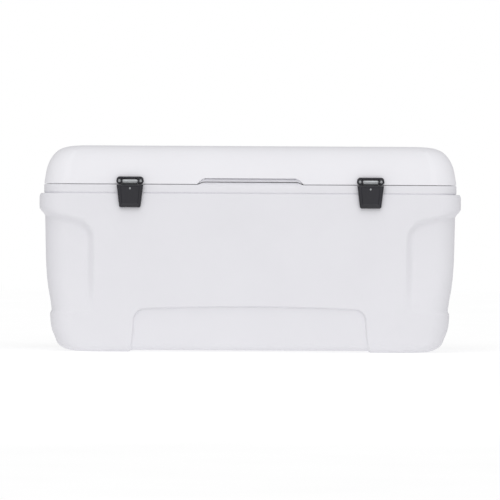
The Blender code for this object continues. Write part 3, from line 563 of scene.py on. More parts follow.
def brushed_steel(name, stretch):
    mat, shader = new_material(name, 0.30, 1.0)
    streaks = noise(mat, 1500.0, 3.0, 0.6, stretch)
    tone = mixed(mat, ranged(mat, streaks, 0.0, 1.0), (0.40, 0.41, 0.42), (0.27, 0.28, 0.29))
    set_inputs(mat, shader, {"Base Color": tone, "Roughness": ranged(mat, streaks, 0.24, 0.40)})
    bumped(mat, shader, [(streaks, 0.00003)])
    return mat


def rigid_foam(name):
    mat, shader = new_material(name, 0.95)
    cells = noise(mat, 500.0, 4.0)
    tone = mixed(mat, ranged(mat, cells, 0.0, 1.0), (0.82, 0.72, 0.46), (0.66, 0.54, 0.32))
    set_inputs(mat, shader, {"Base Color": tone})
    bumped(mat, shader, [(cells, 0.0008)])
    return mat


SHELL = moulded_plastic("white_shell_plastic", (0.750, 0.745, 0.779), (0.730, 0.725, 0.759),
                        (0.770, 0.766, 0.798), 0.60, 900.0, 0.00010, 0.0004, 0.12)
# Painted light: the same white plastic as the body, made lighter to stand in for the extra light from
# above that falls on the lid.
LID_SHELL_PAINTED_LIGHTER = moulded_plastic("white_lid_plastic_painted_lighter", (0.810, 0.805, 0.838), (0.792, 0.787, 0.820),
                            (0.815, 0.810, 0.843), 0.60, 900.0, 0.00010, 0.0004, 0.12)
TUB_WHITE = moulded_plastic("white_liner_plastic", (0.77, 0.77, 0.78), (0.75, 0.75, 0.765),
                            (0.80, 0.80, 0.81), 0.34, 1500.0, 0.00004, 0.0003)
FITTING = moulded_plastic("white_fitting_plastic", (0.73, 0.73, 0.75), (0.70, 0.70, 0.72),
                          (0.79, 0.79, 0.80), 0.38, 1300.0, 0.00005, 0.0001)
BLACK = moulded_plastic("black_latch_plastic", (0.014, 0.0135, 0.020), (0.009, 0.0085, 0.013),
                        (0.050, 0.048, 0.058), 0.46, 1300.0, 0.00006, 0.0001)
RUBBER = moulded_plastic("black_rubber", (0.022, 0.022, 0.022), (0.030, 0.030, 0.030),
                         (0.05, 0.05, 0.05), 0.75, 1100.0, 0.00008, 0.0001)
STEEL = brushed_steel("brushed_stainless", (0.04, 1.0, 1.0))
FOAM = rigid_foam("rigid_foam")

# ---- Skins: closed bodies lofted from rings ----
ON_LONG, ON_CORNER, ON_END = 0, 1, 2
TURN_STEPS = [90.0 * i / 14 for i in range(15)]
BODY_XS = stops((0, 0.1150, 0.0115), (0.1165, 0.1385, 0.0022), (0.152, 0.252, 0.020),
                (0.2575, 0.2940, 0.0024), (0.2955, 0.3120, 0.0014), (0.330, 0.384, 0.018),
                (0.390, 0.422, 0.0022), (0.432, 0.4855, 0.0107))
LID_XS = stops((0, 0.1150, 0.0115), (0.1165, 0.1385, 0.0011), (0.152, 0.4855, 0.0152))
END_YS = stops((0, 0.162, 0.018))
FLANGE_YS = stops((0, 0.135, 0.027))
STILL_X, STILL_SHARE = 0.43, 0.93  # stations past this, or this share of a short ring, slide


def ring_stations(long_xs, end_ys):
    """Stations round a rounded rectangle, from the middle of the left end past the front.

    Arrays of kind, value, sign of X and sign of Y. The rear half mirrors the front half, so a
    flat end closes with strips across the depth."""
    front = [(ON_END, y, -1, -1) for y in end_ys]
    front += [(ON_CORNER, t, -1, -1) for t in reversed(TURN_STEPS)]
    front += [(ON_LONG, x, -1, -1) for x in reversed(long_xs[1:])]
    front += [(ON_LONG, x, 1, -1) for x in long_xs]
    front += [(ON_CORNER, t, 1, -1) for t in TURN_STEPS]
    front += [(ON_END, y, 1, -1) for y in reversed(end_ys)]
    rear = [(kind, value, sx, 1) for kind, value, sx, _ in reversed(front[1:-1])]
    return np.array(front + rear, float).T


BODY_RING = ring_stations(BODY_XS, END_YS)
LID_RING = ring_stations(LID_XS, END_YS)


def ring_xy(ring, half_x, half_y, radius):
    """X and Y of the stations on one rounded rectangle, in order even where it is short."""
    kind, value, sx, sy = ring
    reach_x, reach_y = half_x - radius, half_y - radius
    far_x, far_y = value[kind == ON_LONG].max(), value[kind == ON_END].max()
    keep = min(STILL_SHARE * reach_x, STILL_X)
    past = keep + (value - keep) * (reach_x - keep) / (far_x - keep)
    long_x = np.where(value < keep, value, past)
    turn = np.radians(value)
    on = [kind == ON_LONG, kind == ON_CORNER]
    x = np.select(on, [long_x, reach_x + radius * np.sin(turn)], half_x)
    y = np.select(on, [half_y, reach_y + radius * np.cos(turn)], value * reach_y / far_y)
    return sx * x, sy * y


def ring_solid(name, rings, sharp=35):
    """A closed body from rings of points, its first and last ring closed across the depth."""
    rings = np.array(rings)
    rows, count = rings.shape[:2]
    index = np.arange(rows * count).reshape(rows, count)
    after = np.roll(index, -1, axis=1)
    quads = np.stack([index[:-1], after[:-1], after[1:], index[1:]], axis=-1)
    faces = quads.reshape(-1, 4).tolist()
    for row, step in ((index[0].tolist(), -1), (index[-1].tolist(), 1)):
        for i in range(count // 2):
            face = [row[i], row[i + 1], row[(count - i - 1) % count], row[(count - i) % count]]
            faces.append(list(dict.fromkeys(face))[::step])
    mesh = bpy.data.meshes.new(name)
    mesh.from_pydata(rings.reshape(-1, 3).tolist(), [], faces)
    bm = bmesh.new()
    bm.from_mesh(mesh)
    bpy.data.meshes.remove(mesh)
    return object_from(name, bm, sharp)


def corner_radius(half_x, most, share):
    """The plan radius, which is smaller where the skin is shorter than the rim."""
    return CORNER_R - min(most, share * (RIM_X - min(half_x, RIM_X)))


def recess_share(x, z):
    """One inside the recessed corner panels and over the whole end, zero on the front wall."""
    side = GROOVE_X - np.abs(x)
    top = z - (RECESS_TOP_Z - RECESS_TOP_SLOPE * (SHOULDER_X - np.abs(x)))
    inside = rounded_distance(side, top, RECESS_CORNER_R)
    share = 1.0 - smoothstep(-GROOVE_WIDE / 2, GROOVE_WIDE / 2, inside)
    return share * smoothstep(FOOT_TOP_LOW, FOOT_TOP_HIGH, z)


def arch_share(x, z):
    """One inside the shallow arched panel between the feet."""
    leg = ARCH_X - ARCH_LEAN * min(z / ARCH_LEAN_Z, 1.0)
    top = ARCH_TOP - ARCH_DROP * (x / ARCH_DROP_X) ** 2
    inside = rounded_distance(np.abs(x) - leg, z - top, ARCH_R)
    return 1.0 - smoothstep(-ARCH_EDGE / 2, ARCH_EDGE / 2, inside)


def body_ring(z, half_x, half_y, inset=0.0):
    """One ring of the body's skin, or of its inner face at an inset."""
    radius = corner_radius(half_x, *BODY_TIGHTEN) - inset
    x, y = ring_xy(BODY_RING, half_x - inset, half_y - inset, radius)
    share = recess_share(x, z)
    if share.any():
        end = np.interp(z, RECESS_HEIGHTS, RECESS_ENDS)
        back = np.interp(z, RECESS_HEIGHTS, RECESS_BACKS)
        deep_x, deep_y = ring_xy(BODY_RING, end - inset, half_y - back - inset, radius)
        x, y = x + (deep_x - x) * share, y + (deep_y - y) * share
    on_long = BODY_RING[0] == ON_LONG
    y -= np.where(on_long, BODY_RING[3], 0.0) * ARCH_DEEP * arch_share(x, z)
    level = np.full_like(x, z)
    between_feet = 1.0 - smoothstep(FOOT_LOW_X, FOOT_HIGH_X, np.abs(x))
    level += BASE_LIFT * between_feet * (1.0 - smoothstep(0.0, BASE_LIFT_Z, z))
    under_notch = (1.0 - smoothstep(NOTCH_TOP_X, NOTCH_X, np.abs(x))) * (BODY_RING[3] < 0)
    rise = np.clip((z - LEDGE_Z) / (RIM_Z - LEDGE_Z), 0.0, 1.0) * under_notch * on_long
    y += LEDGE_DEEP * rise
    level += (LEDGE_TOP_Z - RIM_Z) * rise
    if inset:
        level += WALL * (1.0 - smoothstep(FLOOR_LOW_Z, FLOOR_HIGH_Z, z))
    return np.stack([x, y, level], axis=1)


def body_skin():
    rows = thinned(rounded_path(BODY_PROFILE), BODY_STEP, BODY_BANDS)
    rings = [body_ring(*row) for row in rows]
    levels, long, deep = zip(*(p[:3] for p in BODY_PROFILE))
    for z in BODY_INNER_HEIGHTS:
        rings.append(body_ring(z, np.interp(z, levels, long), np.interp(z, levels, deep), WALL))
    return ring_solid("body_skin", rings)


def end_wall_x(z):
    """Where the outer face of the end wall is, under the shoulder."""
    if z < FOOT_TOP_LOW:
        levels, long = zip(*(p[:2] for p in BODY_PROFILE))
        return float(np.interp(z, levels, long))
    return float(np.interp(z, RECESS_HEIGHTS, RECESS_ENDS))


def recess_ring(side, x_of, grow, half_y, centre_z, half_z, radius):
    """A rounded rectangle facing X, grown outwards; x_of gives X at each height."""
    ring = []
    for sy, sz, start in ((1, 1, 0), (-1, 1, 90), (-1, -1, 180), (1, -1, 270)):
        centre = (sy * (half_y - radius), centre_z + sz * (half_z - radius))
        ring += arc(centre, radius + grow, start, start + 90, 8)
    return [(side * x_of(z), y, z) for y, z in ring]


def loop_solid(name, rings):
    bm = bmesh.new()
    skin_between(bm, [[bm.verts.new(p) for p in ring] for ring in rings])
    return object_from(name, bm)


def cut_recess(skin, side, floor_x, *place):
    """Sets a walled tray into an end, with a rounded floor and a rounded mouth.

    place is the tray's half depth, middle height, half height and corner radius."""
    tray = [
        recess_ring(side, lambda z: floor_x - WALL, WALL, *place),
        recess_ring(side, lambda z: end_wall_x(z) - TRAY_SUNK, WALL, *place),
    ]
    combine(skin, "UNION", loop_solid("tray", tray))
    rings = []
    for turn in np.radians((90, 60, 30, 0)):
        x = floor_x + FLOOR_FILLET * (1 - math.sin(turn))
        grow = -FLOOR_FILLET * (1 - math.cos(turn))
        rings.append(recess_ring(side, lambda z, x=x: x, grow, *place))
    for turn in np.radians((0, 20, 40, 60, 78)):
        sunk, grow = MOUTH_R * (1 - math.sin(turn)) - MOUTH_PROUD, MOUTH_R * (1 - math.cos(turn))
        rings.append(recess_ring(side, lambda z, s=sunk: end_wall_x(z) - s, grow, *place))
    rings.append(recess_ring(side, lambda z: end_wall_x(z) + HOLLOW_PAST, grow, *place))
    combine(skin, "DIFFERENCE", loop_solid("hollow", rings))


def cut_drain_hole(ob):
    combine(ob, "DIFFERENCE", bar("hole", "X", *SPOUT_HOLE_SPAN, (0, 0, DRAIN_AT.z), SPOUT_HOLE_R))


def body():
    skin = body_skin()
    for side in (-1, 1):
        cut_recess(skin, side, POCKET_FLOOR_X, POCKET_HALF, POCKET_Z, POCKET_TALL / 2, POCKET_R)
    cut_recess(skin, 1, DRAIN_FLOOR_X, DRAIN_HALF, DRAIN_AT.z, DRAIN_TALL / 2, DRAIN_R)
    cut_drain_hole(skin)
    settle(skin, "body", "shell_white", SHELL, "body_outer_shell")


def relieved_solid(name, sections, step_xs, relief):
    """A flanged pan whose front edge steps back near the middle, to relief's half length and depth."""
    ring = ring_stations(stops((0, 0.128, 0.032), step_xs, (0.17, 0.44, 0.03)), FLANGE_YS)
    reach_x, reach_y = relief
    rings = []
    for z, half_x, half_y, radius in sections:
        x, y = ring_xy(ring, half_x, half_y, radius)
        y = np.where(np.abs(x) < reach_x, np.maximum(y, -reach_y), y)
        rings.append(np.stack([x, y, np.full_like(x, z)], axis=1))
    return ring_solid(name, rings, 45)


def tub():
    liner = relieved_solid("tub_liner", TUB, (0.138, 0.140, 0.001), LEDGE_RELIEF)
    cut_drain_hole(liner)
    settle(liner, "body", "liner_white", TUB_WHITE, "body_liner")


# ---- Lid ----

def lid_ring(z, half_x, half_y, inset=0.0):
    radius = corner_radius(half_x, *LID_TIGHTEN) - inset
    x, y = ring_xy(LID_RING, half_x, half_y, radius)
    level = np.full_like(x, z)
    if z < NOTCH_Z:
        on_front = (LID_RING[0] == ON_LONG) & (LID_RING[3] < 0)
        climb = (z - LID_Z) / (NOTCH_Z - LID_Z)
        edge = NOTCH_X + (NOTCH_TOP_X - NOTCH_X) * climb
        share = on_front * (1.0 - smoothstep(edge - NOTCH_SIDE, edge, np.abs(x)))
        crease = NOTCH_CREASE * smoothstep(*CREASE_CLIMB, climb)
        y += (NOTCH_DEEP + NOTCH_LEAN * climb + crease) * share
        ramp = on_front * (1.0 - smoothstep(NOTCH_TOP_X, NOTCH_X, np.abs(x)))
        level += (NOTCH_BASE_Z + (NOTCH_Z - NOTCH_BASE_Z) * climb - z) * ramp
    return np.stack([x, y, level], axis=1)


def lid():
    inner = [lid_ring(z, half_x, half_y, WALL) for z, half_x, half_y in LID_INNER]
    path = rounded_path(LID_PROFILE)
    rows = thinned(path, LID_STEP, LID_BANDS)
    rows = [row for row in rows if abs(row[0] - NOTCH_Z) > NOTCH_ROW_CLEAR]
    levels, long, deep = zip(*path)
    for z in NOTCH_Z + np.array(NOTCH_ROWS):
        rows.append(np.array([z, np.interp(z, levels, long), np.interp(z, levels, deep)]))
    rows.sort(key=lambda row: row[0])
    skin = ring_solid("lid_skin", inner + [lid_ring(*row) for row in rows])
    # The lid skin takes the copy of the white plastic that is painted lighter for the light from
    # above.
    settle(skin, "lid", "shell_white", LID_SHELL_PAINTED_LIGHTER, "lid_outer_shell")


def lid_panel():
    panel = relieved_solid("lid_inner_panel", LID_PANEL, (0.1395, 0.1415, 0.001), NOTCH_RELIEF)
    settle(panel, "lid", "liner_white", TUB_WHITE, "lid_liner")


# ---- Screws ----
SCREW_HEAD_R, SCREW_HEAD, SCREW_R = 0.0040, 0.0018, 0.0020
SCREW_DOME = ((0.0, 0.97), (0.25, 1.0), (0.5, 0.97), (0.72, 0.87), (0.88, 0.70), (0.96, 0.48),
              (1.0, 0.0))


def screw(name, at, axis, length, body, node):
    """A pan-head screw with a cross recess; at is the underside of its head."""
    profile = [(-length, 0.0), (-length, SCREW_R * 0.6), (-length + SCREW_R, SCREW_R), (0.0, SCREW_R)]
    profile += [(SCREW_HEAD * up, SCREW_HEAD_R * out) for up, out in SCREW_DOME]
    ob = turned(name, plain(profile), axis, at, 32)
    wide, deep, reach = 0.38 * SCREW_HEAD_R, 0.55 * SCREW_HEAD, 1.24 * SCREW_HEAD_R
    arms = []
    for turn in (25.0, 115.0):
        place = Matrix.Rotation(math.radians(turn), 4, "Z")
        place @= Matrix.Translation((0, 0, SCREW_HEAD - deep / 2 + 0.0003))
        bm = bmesh.new()
        size = Matrix.Diagonal((reach, wide, deep + 0.0006, 1.0))
        bmesh.ops.create_cube(bm, size=1.0, matrix=place @ size)
        for vert in bm.verts:
            vert.co = TURNS[axis] @ vert.co + Vector(at)
        arms.append(object_from("slot", bm))
    combine(ob, "DIFFERENCE", *arms)
    settle(ob, body, "stainless", STEEL, node)


# ---- Latches ----

def flap_half_width(z):
    """The flap tapers downwards and its lower corners are rounded."""
    half = np.interp(z, (FLAP_LOW, FLAP_TOP), (FLAP_LOW_X, FLAP_TOP_X))
    drop = max(0.0, FLAP_LOW + FLAP_CORNER - z)
    return half - (FLAP_CORNER - math.sqrt(max(FLAP_CORNER ** 2 - drop ** 2, 0.0)))


def flap_relief(u, z):
    """How far the flap's face lies behind its side ribs: a panel, a chin and finger bands."""
    side = (np.abs(u) - PANEL_U) * 0.030
    inside = np.maximum(side, max(z - PANEL_TOP, PANEL_LOW - z))
    panel = PANEL_DEEP * (1.0 - smoothstep(-0.0009, 0.0009, inside))
    across = 1.0 - smoothstep(0.78, 0.86, np.abs(u))
    bands = sum(BAND_DEEP * math.exp(-((z - at) / BAND_WIDE) ** 2) for at in BAND_AT)
    groove = RIB_GROOVE_DEEP * np.exp(-((np.abs(u) - RIB_GROOVE_U) / RIB_GROOVE_WIDE) ** 2)
    edge = 0.0016 * smoothstep(0.965, 1.0, np.abs(u)) ** 2
    top_edge = 0.0012 * smoothstep(FLAP_TOP - 0.0012, FLAP_TOP, z) ** 2
    low_edge = 0.0014 * (1.0 - smoothstep(FLAP_LOW, FLAP_LOW + 0.0016, z)) ** 2
    return panel + across * bands + groove + edge + top_edge + low_edge


def flap_slab(name, centre_x):
    """The flap's body, with a modelled face over a flat back."""
    ribs = np.linspace(0.66, 1.0, 16)
    us = np.unique(np.round(np.concatenate([np.linspace(-1, 1, 25), ribs, -ribs]), 5))
    zs = stops((FLAP_LOW, 0.3835, 0.0006), (0.387, 0.419, 0.004), (0.4215, FLAP_TOP, 0.0006))
    bm = bmesh.new()
    face, back = [], []
    for z in zs:
        xs = centre_x + us * flap_half_width(z)
        ys = FLAP_FACE_Y + flap_relief(us, z)
        face.append([bm.verts.new((x, y, z)) for x, y in zip(xs, ys)])
        back.append([bm.verts.new((x, FLAP_BACK_Y, z)) for x in xs])
    rows, count = len(zs), len(us)
    for r in range(rows - 1):
        for i in range(count - 1):
            bm.faces.new((face[r][i], face[r][i + 1], face[r + 1][i + 1], face[r + 1][i]))
            bm.faces.new((back[r][i], back[r + 1][i], back[r + 1][i + 1], back[r][i + 1]))
        for i in (0, -1):
            bm.faces.new((face[r][i], back[r][i], back[r + 1][i], face[r + 1][i]))
    for r in (0, -1):
        for i in range(count - 1):
            bm.faces.new((face[r][i], face[r][i + 1], back[r][i + 1], back[r][i]))
    return object_from(name, bm)


def latch_bracket(side, pivot, lid_face):
    """A plate with two screw bosses and a bar over the strap's curl."""
    x = pivot.x
    outline = arc((EAR_TOP_X, EAR_TOP_Z), EAR_R, 0, 90, 8)
    outline += arc((-EAR_TOP_X, EAR_TOP_Z), EAR_R, 90, 180, 8)
    outline += arc((-LATCH_SCREW_X, LATCH_SCREW_Z), EAR_R, 180, 270, 8)
    outline += [(-WINDOW_X, WINDOW_LOW), (-WINDOW_X, WINDOW_TOP)]
    outline += [(WINDOW_X, WINDOW_TOP), (WINDOW_X, WINDOW_LOW)]
    outline += arc((LATCH_SCREW_X, LATCH_SCREW_Z), EAR_R, 270, 360, 8)
    spread = [(x + a, up) for a, up in outline]
    bracket = prism(f"{side}_bracket_body", spread, "Y", lid_face - PLATE_T, lid_face)
    boss = [(0.0001, 0.0), (0.0001, 0.0078), (0.0094, 0.0078), (0.0102, 0.0074), (0.0105, 0.0066),
            (0.0105, 0.0046), (0.0084, 0.0045), (0.0084, 0.0)]
    parts = [block("top_bar", (x - TOP_BAR_X, lid_face - 0.0082, WINDOW_TOP),
                   (x + TOP_BAR_X, lid_face - 0.0004, BRACKET_TOP), 0.0014)]
    tools = [bar("pin_bore", "X", -PIN_BORE_X, PIN_BORE_X, pivot, PIN_BORE_R)]
    for sign in (-1, 1):
        at = (x + sign * LATCH_SCREW_X, lid_face, LATCH_SCREW_Z)
        parts.append(turned("boss", plain(boss), "-Y", at))
        tools.append(bar("screw_hole", "-Y", -0.01, 0.02, at, 0.0024))
    combine(bracket, "UNION", *parts)
    combine(bracket, "DIFFERENCE", *tools)
    settle(bracket, "lid", "latch_black", BLACK, f"{side}_latch_bracket")


def latch_strap(side, pivot):
    """A steel strap that wraps the pin from behind, over the top, and runs down into the flap."""
    y, z = pivot.y, pivot.z
    loop = arc((y, z), CURL_OUT, -72, 200, 40)
    loop += [(y - 0.0030, z - 0.0056), (y - STRAP_T, z - 0.0092)]
    loop += [(y - STRAP_T, 0.4060), (y + STRAP_T, 0.4060)]
    loop += [(y + STRAP_T, z - 0.0086), (y - 0.0022, z - 0.0050)]
    loop += arc((y, z), CURL_IN, 212, -72, 40)
    strap = prism(f"{side}_hinge_strap", loop, "X", pivot.x - STRAP_HALF, pivot.x + STRAP_HALF)
    round_edges(strap, 0.0003, 2, 50)
    combine(strap, "DIFFERENCE", bar("strap_hole", "Y", -0.01, 0.01, (pivot.x, y, RIVET_Z), HOLE_R))
    settle(strap, f"{side}_latch", "stainless", STEEL, f"{side}_latch_strap")


def latch_flap(side, pivot):
    x = pivot.x
    wall_y = FLAP_FACE_Y + FLAP_WALL
    flap = flap_slab(f"{side}_flap", x)
    ways = (
        ("strap_bed", -0.0190, 0.0190, pivot.y - 0.0011, 0.4040, 0.4400),
        ("catch_way", -0.0165, 0.0165, wall_y, 0.3600, 0.4010),
        ("left_way", -0.0235, -0.0192, wall_y, 0.3770, 0.4200),
        ("right_way", 0.0192, 0.0235, wall_y, 0.3770, 0.4200),
    )
    tools = [bar("rivet_hole", "Y", -0.02, 0.02, (x, FLAP_FACE_Y, RIVET_Z), HOLE_R)]
    for name, near, far, wall, low, high in ways:
        tools.append(block(name, (x + near, wall, low), (x + far, CHANNEL_Y, high), 0))
    combine(flap, "DIFFERENCE", *tools)
    settle(flap, f"{side}_latch", "latch_black", BLACK, f"{side}_latch_flap")

    face = FLAP_FACE_Y + PANEL_DEEP
    tail = face - pivot.y - 0.0010
    rivet = [(tail - 0.0010, 0.0), (tail - 0.0010, 0.0032), (tail - 0.0002, 0.0034), (tail, RIVET_R)]
    rivet += [(0.0, RIVET_R), (0.0, 0.0027), (0.0004, 0.0026), (0.0008, 0.0022), (0.0011, 0.0014),
              (0.0012, 0.0)]
    ob = turned(f"{side}_rivet", plain(rivet), "-Y", (x, face, RIVET_Z), 32)
    settle(ob, f"{side}_latch", "stainless", STEEL, f"{side}_latch_rivet")


def latch(side):
    pivot = JOINT_AT[f"{side}_latch_hinge"]
    lid_face = -RIM_Y - GAP
    latch_bracket(side, pivot, lid_face)
    pin = bar(f"{side}_latch_axle", "X", -0.0232, 0.0232, pivot, 0.0032)
    settle(pin, "lid", "stainless", STEEL, f"{side}_latch_pin")
    latch_strap(side, pivot)
    latch_flap(side, pivot)

    low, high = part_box(f"{side}_latch_catch")
    ramp = [(low.y, low.z), (high.y, low.z), (high.y, high.z), (low.y + 0.0020, high.z),
            (low.y, high.z - 0.0035)]
    catch = round_edges(prism(f"{side}_catch", ramp, "X", low.x, high.x), 0.0006)
    settle(catch, "body", "fitting_white", FITTING, f"{side}_latch_catch")

    for end, sign in (("outer", -1), ("inner", 1)):
        at = (pivot.x + sign * LATCH_SCREW_X, lid_face - 0.0084, LATCH_SCREW_Z)
        node = f"{side}_latch_screw_{end}"
        screw(f"{side}_bracket_screw_{end}", at, "-Y", 0.0075, "lid", node)


# ---- Hinges ----

def leaf_outline(low, high, rounded_low):
    """A plate with its two lower or its two upper corners rounded."""
    r, half = LEAF_CORNER, LEAF_HALF
    if rounded_low:
        return ([(-half, high)] + arc((-half + r, low + r), r, 180, 270, 6)
                + arc((half - r, low + r), r, 270, 360, 6) + [(half, high)])
    return ([(half, low)] + arc((half - r, high - r), r, 0, 90, 6)
            + arc((-half + r, high - r), r, 90, 180, 6) + [(-half, low)])


def hinge(side):
    x = sum(c.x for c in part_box(f"{side}_hinge_pin")) / 2
    at = Vector((x, HINGE_AT.y, HINGE_AT.z))
    middle = ((-KNUCKLE_SPLIT, KNUCKLE_SPLIT),)
    outer = ((-KNUCKLE_END, -KNUCKLE_SPLIT), (KNUCKLE_SPLIT, KNUCKLE_END))
    leaves = (
        ("body", leaf_outline(*BODY_LEAF_Z, True), middle, BODY_ARM_Z, BODY_LEAF_SCREW_Z),
        ("lid", leaf_outline(*LID_LEAF_Z, False), outer, LID_ARM_Z, LID_LEAF_SCREW_Z),
    )
    for what, outline, spans, arm, screw_z in leaves:
        spread = [(x + a, up) for a, up in outline]
        leaf = prism(f"{side}_{what}_leaf_plate", spread, "Y", LEAF_IN, LEAF_OUT)
        round_edges(leaf, 0.0005, 2)
        joined = []
        for start, end in spans:
            start, end = start + GAP, end - GAP
            joined.append(bar("knuckle", "X", start, end, at, KNUCKLE_R))
            joined.append(block("arm", (x + start, LEAF_IN + 0.0002, arm[0]), (x + end, at.y, arm[1]),
                                0.0003))
        combine(leaf, "UNION", *joined)
        bores = [bar("pin_hole", "X", -0.04, 0.04, at, HINGE_PIN_R + GAP)]
        for sx in (-LEAF_SCREW_X, LEAF_SCREW_X):
            bores.append(bar("hole", "Y", -0.01, 0.01, (x + sx, LEAF_OUT, screw_z), HOLE_R))
        combine(leaf, "DIFFERENCE", *bores)
        settle(leaf, what, "stainless", STEEL, f"{side}_hinge_{what}_leaf")
        for end, sx in (("a", -LEAF_SCREW_X), ("b", LEAF_SCREW_X)):
            place = (x + sx, LEAF_OUT + GAP, screw_z)
            node = f"{side}_hinge_{what}_screw_{end}"
            screw(f"{side}_{what}_leaf_screw_{end}", place, "Y", 0.0024, what, node)
    pin = bar(f"{side}_hinge_axle", "X", -0.0285, 0.0285, at, HINGE_PIN_R)
    settle(pin, "body", "stainless", STEEL, f"{side}_hinge_pin")


# ---- Handles ----

def handle(side, sign):
    pivot = JOINT_AT[f"{side}_handle_swing"]
    riding = f"{side}_handle"
    low = -BAIL_DROP
    route = [(-BAIL_HALF - 0.0200, 0.0), (-BAIL_HALF - 0.0120, 0.0)]
    route += arc((-BAIL_HALF - BAIL_SHOULDER, -BAIL_SHOULDER), BAIL_SHOULDER, 90, 0, 8)
    route += [(-BAIL_HALF, low + BAIL_BEND + 0.02)]
    route += arc((-BAIL_HALF + BAIL_BEND, low + BAIL_BEND), BAIL_BEND, 180, 270, 14)
    route += [(-y, z) for y, z in reversed(route)]
    bail = tube(f"{side}_bail", [pivot + Vector((0, y, z)) for y, z in route], BAIL_R)
    settle(bail, riding, "fitting_white", FITTING, f"{side}_handle_bail")

    bore = BAIL_R + 0.0004
    edge = [(-GRIP_HALF, bore), (-GRIP_HALF, GRIP_R - 0.0012),
            (-GRIP_HALF + 0.0004, GRIP_R - 0.0004), (-GRIP_HALF + 0.0012, GRIP_R)]
    profile = list(edge)
    for along in np.linspace(-GRIP_HALF + 0.003, GRIP_HALF - 0.003, 61):
        swell = math.cos(math.pi * GRIP_WAVES * along / GRIP_HALF)
        profile.append((along, GRIP_R - GRIP_DIP * (1 - swell) / 2))
    profile += [(-along, radius) for along, radius in reversed(edge)]
    grip = turned(f"{side}_grip", plain(profile), "Y", pivot + Vector((0, 0, low)), 36)
    settle(grip, riding, "fitting_white", FITTING, f"{side}_handle_grip")

    for end, toward in (("front", -1), ("rear", 1)):
        node = f"{side}_handle_mount_{end}"
        a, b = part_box(node)
        middle = (a.y + b.y) / 2
        mount = block(f"{side}_mount_{end}", a, b, 0.0020)
        screw_node = f"{side}_handle_screw_{end}"
        screw_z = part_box(screw_node)[LOW].z + SCREW_HEAD_R
        seat_at = (pivot.x, toward * SEAT_Y, pivot.z)
        seat = bar("seat", "Y", -SEAT_HALF, SEAT_HALF, seat_at, BAIL_R + 0.0005)
        hole = bar("hole", "X", -0.03, 0.03, (pivot.x, middle, screw_z), HOLE_R)
        combine(mount, "DIFFERENCE", seat, hole)
        settle(mount, "body", "fitting_white", FITTING, node)
        at = (sign * (max(abs(a.x), abs(b.x)) + GAP), middle, screw_z)
        outwards = "X" if sign > 0 else "-X"
        screw(f"{side}_mount_screw_{end}", at, outwards, 0.0235, "body", screw_node)


# ---- Drain ----

def drain():
    axis_at = (0.0, 0.0, DRAIN_AT.z)
    spout_in, spout_out, outer, bore = 0.4570, 0.4970, 0.0090, 0.0072
    flange, flange_r, flange_t = DRAIN_FLOOR_X + GAP, 0.0170, 0.0025
    profile = [(spout_in, bore), (spout_out - 0.0004, bore), (spout_out, bore + 0.0004),
               (spout_out, outer - 0.0006)]
    thread_high, thread_low, turns = spout_out - 0.0008, flange + 0.0040, 3
    for k in range(turns * 6 + 1):
        along = thread_high + (thread_low - thread_high) * k / (turns * 6)
        profile.append((along, outer - 0.0005 * (1 - math.cos(math.tau * k / 6)) / 2))
    profile += [(flange + flange_t, outer), (flange + flange_t, flange_r - 0.0004),
                (flange + flange_t - 0.0004, flange_r), (flange, flange_r), (flange, outer),
                (spout_in, outer)]
    spout = turned("drain_tube", plain(profile), "X", axis_at)
    settle(spout, "body", "fitting_white", FITTING, "drain_spout")

    cap_foot, cap_end = flange + 0.0030, 0.5030
    hollow, cap_r, cavity = 0.4993, 0.0150, outer + 0.0004
    cap = [(cap_foot, cavity, 0), (cap_foot, cap_r - 0.0005, 1), (cap_foot + 0.0006, cap_r, 1),
           (cap_end - 0.0014, cap_r, 1), (cap_end - 0.0006, cap_r - 0.0004, 1),
           (cap_end - 0.0001, cap_r - 0.0014, 0.5), (cap_end, cap_r - 0.0026, 0),
           (cap_end - 0.0001, 0.0100, 0), (cap_end - 0.0008, 0.0092, 0),
           (cap_end - 0.0010, 0.0070, 0), (cap_end - 0.0010, 0.0, 0), (hollow, 0.0, 0),
           (hollow, cavity, 0)]
    ob = turned("drain_screw_cap", cap, "X", axis_at, 120, 15, 0.0011)
    settle(ob, "drain_cap", "fitting_white", FITTING, "drain_cap")

    nut_r = 0.0130
    nut = [(0.4585, cavity, 0), (0.4632, cavity, 0), (0.4632, nut_r, 1), (0.4590, nut_r, 1),
           (0.4585, nut_r - 0.0005, 1)]
    ob = turned("drain_ring_nut", nut, "X", axis_at, 96, 12, 0.0010)
    settle(ob, "body", "fitting_white", FITTING, "drain_nut")

    for name, centre_x, inner, radius, thick, riding, node in (
        ("drain_seal", 0.4641, cavity, nut_r, 0.0012, "body", "drain_gasket"),
        ("drain_cap_seal", 0.4982, 0.0, 0.0086, 0.0016, "drain_washer", "drain_cap_washer"),
    ):
        half, edge = thick / 2, thick / 4
        ring = [(-half, inner), (-half, radius - edge), (-edge, radius), (edge, radius),
                (half, radius - edge), (half, inner)]
        ob = turned(name, plain(ring), "X", (centre_x, 0.0, DRAIN_AT.z))
        settle(ob, riding, "rubber", RUBBER, node)


def paint_foam():
    for node in ("body_foam", "lid_foam"):
        ob = frame["nodes"][node]
        ob.data.materials.clear()
        ob.data.materials.append(FOAM)


# ---- Studio ----

WHITE = (1.0, 1.0, 1.0, 1.0)


def aimed(data, at, along):
    """A lamp or camera at a place, looking along a direction."""
    ob = add_object(data.name, data)
    ob.location = at
    ob.rotation_euler = along.to_track_quat("-Z", "Y").to_euler()
    return ob


def air():
    """White to the camera, dimmer as a light."""
    seen, cast = 1.0, 0.47
    world = bpy.data.worlds.new("studio_air")
    bpy.context.scene.world = world
    world.use_nodes = True
    to_camera = add_node(world, "LightPath", {}).outputs["Is Camera Ray"]
    strength = ranged(world, to_camera, cast, seen, 0.0, 1.0)
    sky = world.node_tree.nodes["Background"]
    set_inputs(world, sky, {"Color": WHITE, "Strength": strength})


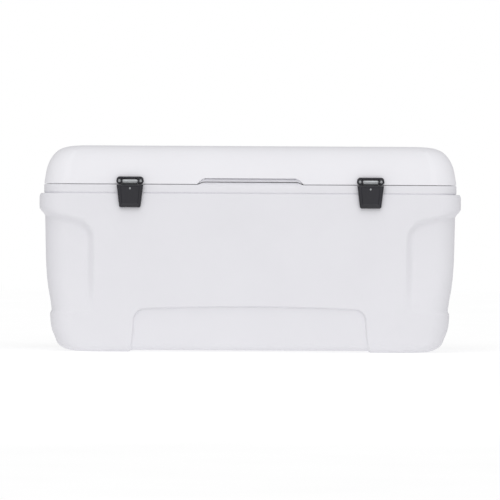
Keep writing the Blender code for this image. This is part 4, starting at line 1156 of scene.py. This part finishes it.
def light_table():
    """A pale floor that gives off some light."""
    bm = bmesh.new()
    bmesh.ops.create_grid(bm, x_segments=8, y_segments=8, size=9.0)
    floor = object_from("studio_floor", bm)
    floor.location.z = -0.0005
    mat, shader = new_material("light_table", 0.9, 0.0, 0.0)
    cloud = ranged(mat, noise(mat, 3.0, 2.0), 0.0, 1.0)
    tone = mixed(mat, cloud, (0.43, 0.43, 0.43), (0.41, 0.41, 0.41))
    glow = {"Emission Color": WHITE, "Emission Strength": 0.66}
    set_inputs(mat, shader, {"Base Color": tone, **glow})
    floor.data.materials.append(mat)


def lights():
    """A square softbox in front, and a broad soft light from high in front."""
    softbox = bpy.data.lights.new("front_softbox", "AREA")
    softbox.shape = "SQUARE"
    softbox.size = 3.6
    softbox.energy = 14.0
    at = Vector((0.0, -4.2, 2.3))
    aimed(softbox, at, Vector((0.0, 0.0, TOP_Z / 2)) - at)
    silk = bpy.data.lights.new("high_silk", "SUN")
    silk.energy = 1.32
    silk.angle = math.radians(70)
    aimed(silk, (0.0, 0.0, 0.0), Vector((0.0, 0.84, -1.0)))


def photo_camera():
    """A long lens from straight in front, a little above, and very slightly rolled."""
    front_y, middle_z, distance, eye_lift, frame_wide = -SHOULDER_Y, 0.2624, 13.3, 0.13, 1.280
    camera = bpy.data.cameras.new("photo_camera")
    camera.sensor_width = 36.0
    camera.lens = camera.sensor_width * distance / frame_wide
    camera.clip_end = 100.0
    at = Vector((0.0, front_y - distance, middle_z + eye_lift))
    eye = aimed(camera, at, Vector((0.0, front_y, middle_z)) - at)
    eye.rotation_euler.rotate_axis("Z", math.radians(0.3))
    bpy.context.scene.camera = eye


body()
tub()
lid()
lid_panel()
for latch_side in ("left", "right"):
    latch(latch_side)
for hinge_side in ("left", "centre", "right"):
    hinge(hinge_side)
for handle_side, handle_sign in (("left", -1), ("right", 1)):
    handle(handle_side, handle_sign)
drain()
paint_foam()
bpy.context.scene.view_settings.view_transform = "Standard"
air()
light_table()
lights()
photo_camera()
